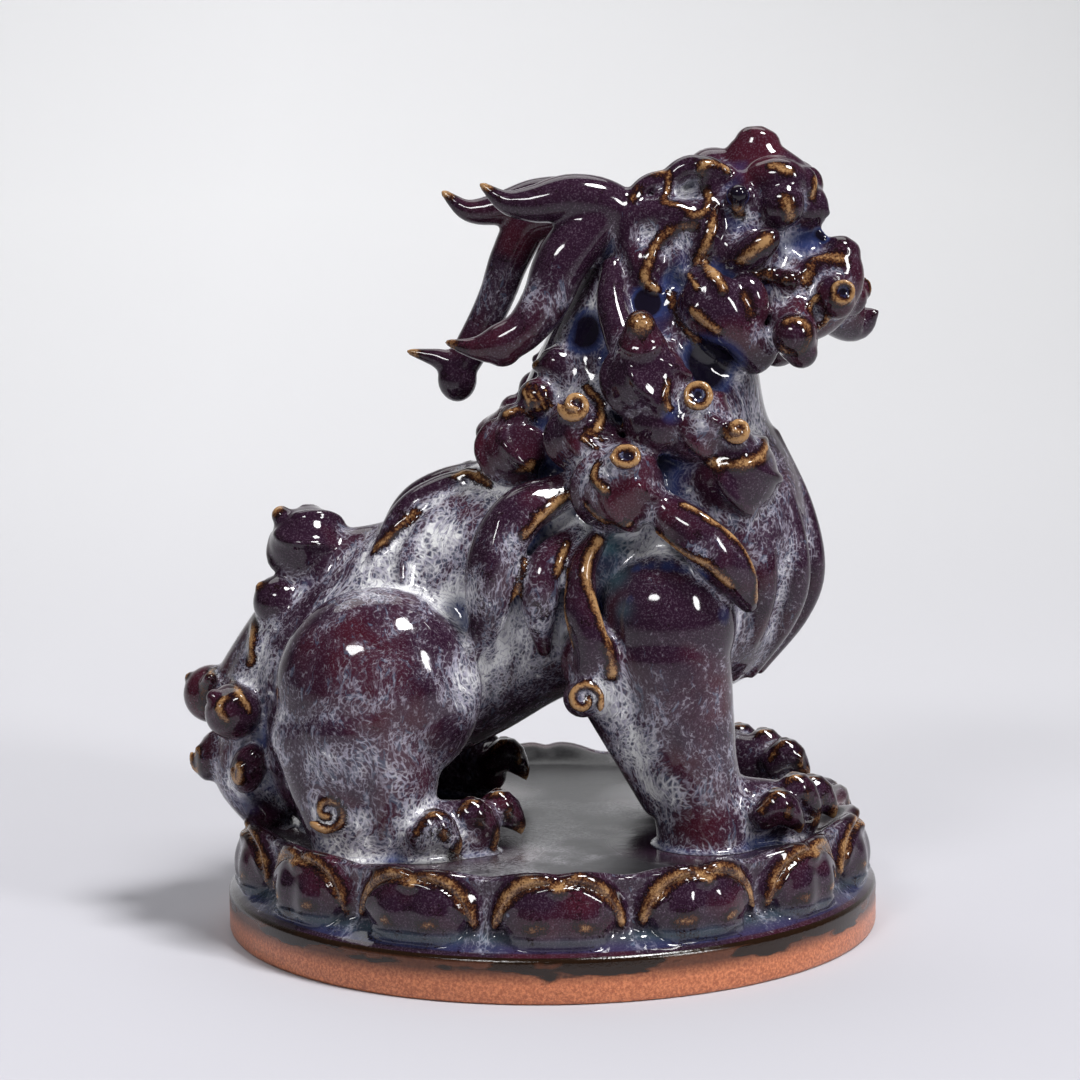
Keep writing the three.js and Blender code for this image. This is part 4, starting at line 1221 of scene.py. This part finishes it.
glaze_material = glaze()
beast_mesh, beast_co = make_beast()
plinth_mesh, plinth_co, inner = make_plinth()
height = plinth_co[:, 2]
put(plinth_mesh, "satin", np.where(inner, 1 - halo_of(plinth_co, beast_co), 0))
put(plinth_mesh, "teal", 0.35 * np.exp(-(((height - 15.2) / 1.8) ** 2)) * (height > WALL_FROM))
put(beast_mesh, "satin", np.clip((TOP_Z + 0.9 - beast_co[:, 2]) / 0.9, 0, 1) * 0.5)
finish_piece(beast_mesh, beast_co, "beast", [glaze_material])
finish_piece(plinth_mesh, plinth_co, "lotus_plinth", [glaze_material, bare_foot()])
below = np.array([all(height[v] < FOOT_H for v in p.vertices) for p in plinth_mesh.polygons])
plinth_mesh.polygons.foreach_set("material_index", below.astype(np.int32))


# The studio, in metres: a pale sweep, three small lamps, a broad soft one and a faint sky.
PAPER_HALF = 3.6
SWEEP = [(-3.6, 0), (-1.6, 0), (-0.6, 0), (0.3, 0), (0.85, 0.06), (1.35, 0.3), (1.75, 0.8), (1.95, 1.5),
         (2.0, 2.4)]
LAMPS_AIM = Vector((0, 0, 0.1))


def studio():
    body = bmesh.new()
    line = smooth_curve([(0, y, z) for y, z in SWEEP], np.linspace(0, 1, 90))
    verts = [body.verts.new((-PAPER_HALF, y, max(z, 0))) for _, y, z in line]
    edges = [body.edges.new(pair) for pair in zip(verts, verts[1:])]
    drawn = bmesh.ops.extrude_edge_only(body, edges=edges)["geom"]
    drawn = [g for g in drawn if isinstance(g, bmesh.types.BMVert)]
    bmesh.ops.translate(body, vec=(2 * PAPER_HALF, 0, 0), verts=drawn)
    mesh = bpy.data.meshes.new("paper_sweep")
    body.to_mesh(mesh)
    body.free()
    mesh.materials.append(paper())
    mesh.shade_smooth()
    floor = object_with("paper_sweep", mesh)

    # Each lamp: the way to it, how far, its width and height in metres, and its power in watts.
    lamps = [
        ((0.365, -0.262, 0.893), 1.7, 0.46, 0.46, 28),
        ((-0.35, -0.725, 0.593), 1.9, 0.56, 0.28, 10),
        ((0.683, -0.611, 0.4), 1.8, 0.28, 0.56, 12),
        ((-0.1, 0.55, 1.0), 2.2, 2.2, 1.2, 13),
    ]
    for k, (way, far, width, height, power) in enumerate(lamps):
        data = bpy.data.lights.new(f"softbox_{k}", "AREA")
        data.shape = "ELLIPSE"
        data.size = width
        data.size_y = height
        data.energy = power
        data.specular_factor = 0.25 if width > 1 else 1.0
        lamp = object_with(f"softbox_{k}", data)
        lamp.location = LAMPS_AIM + Vector(way).normalized() * far
        lamp.rotation_euler = (LAMPS_AIM - lamp.location).to_track_quat("-Z", "Y").to_euler()
    world = bpy.data.worlds.new("studio")
    world.use_nodes = True
    back = world.node_tree.nodes["Background"]
    back.inputs[0].default_value = paint("#eef0f6")
    back.inputs[1].default_value = 0.06
    bpy.context.scene.world = world


def camera():
    data = bpy.data.cameras.new("camera")
    data.lens = LENS
    data.sensor_width = SENSOR
    eye = object_with("camera", data)
    eye.matrix_world = (
        Matrix.Translation(EYE * MM)
        @ Matrix.Rotation(radians(90 - LOOK_DOWN), 4, "X")
        @ Matrix.Rotation(radians(-ROLL), 4, "Z")
    )
    bpy.context.scene.camera = eye


studio()
camera()
bpy.context.scene.view_settings.view_transform = "Standard"
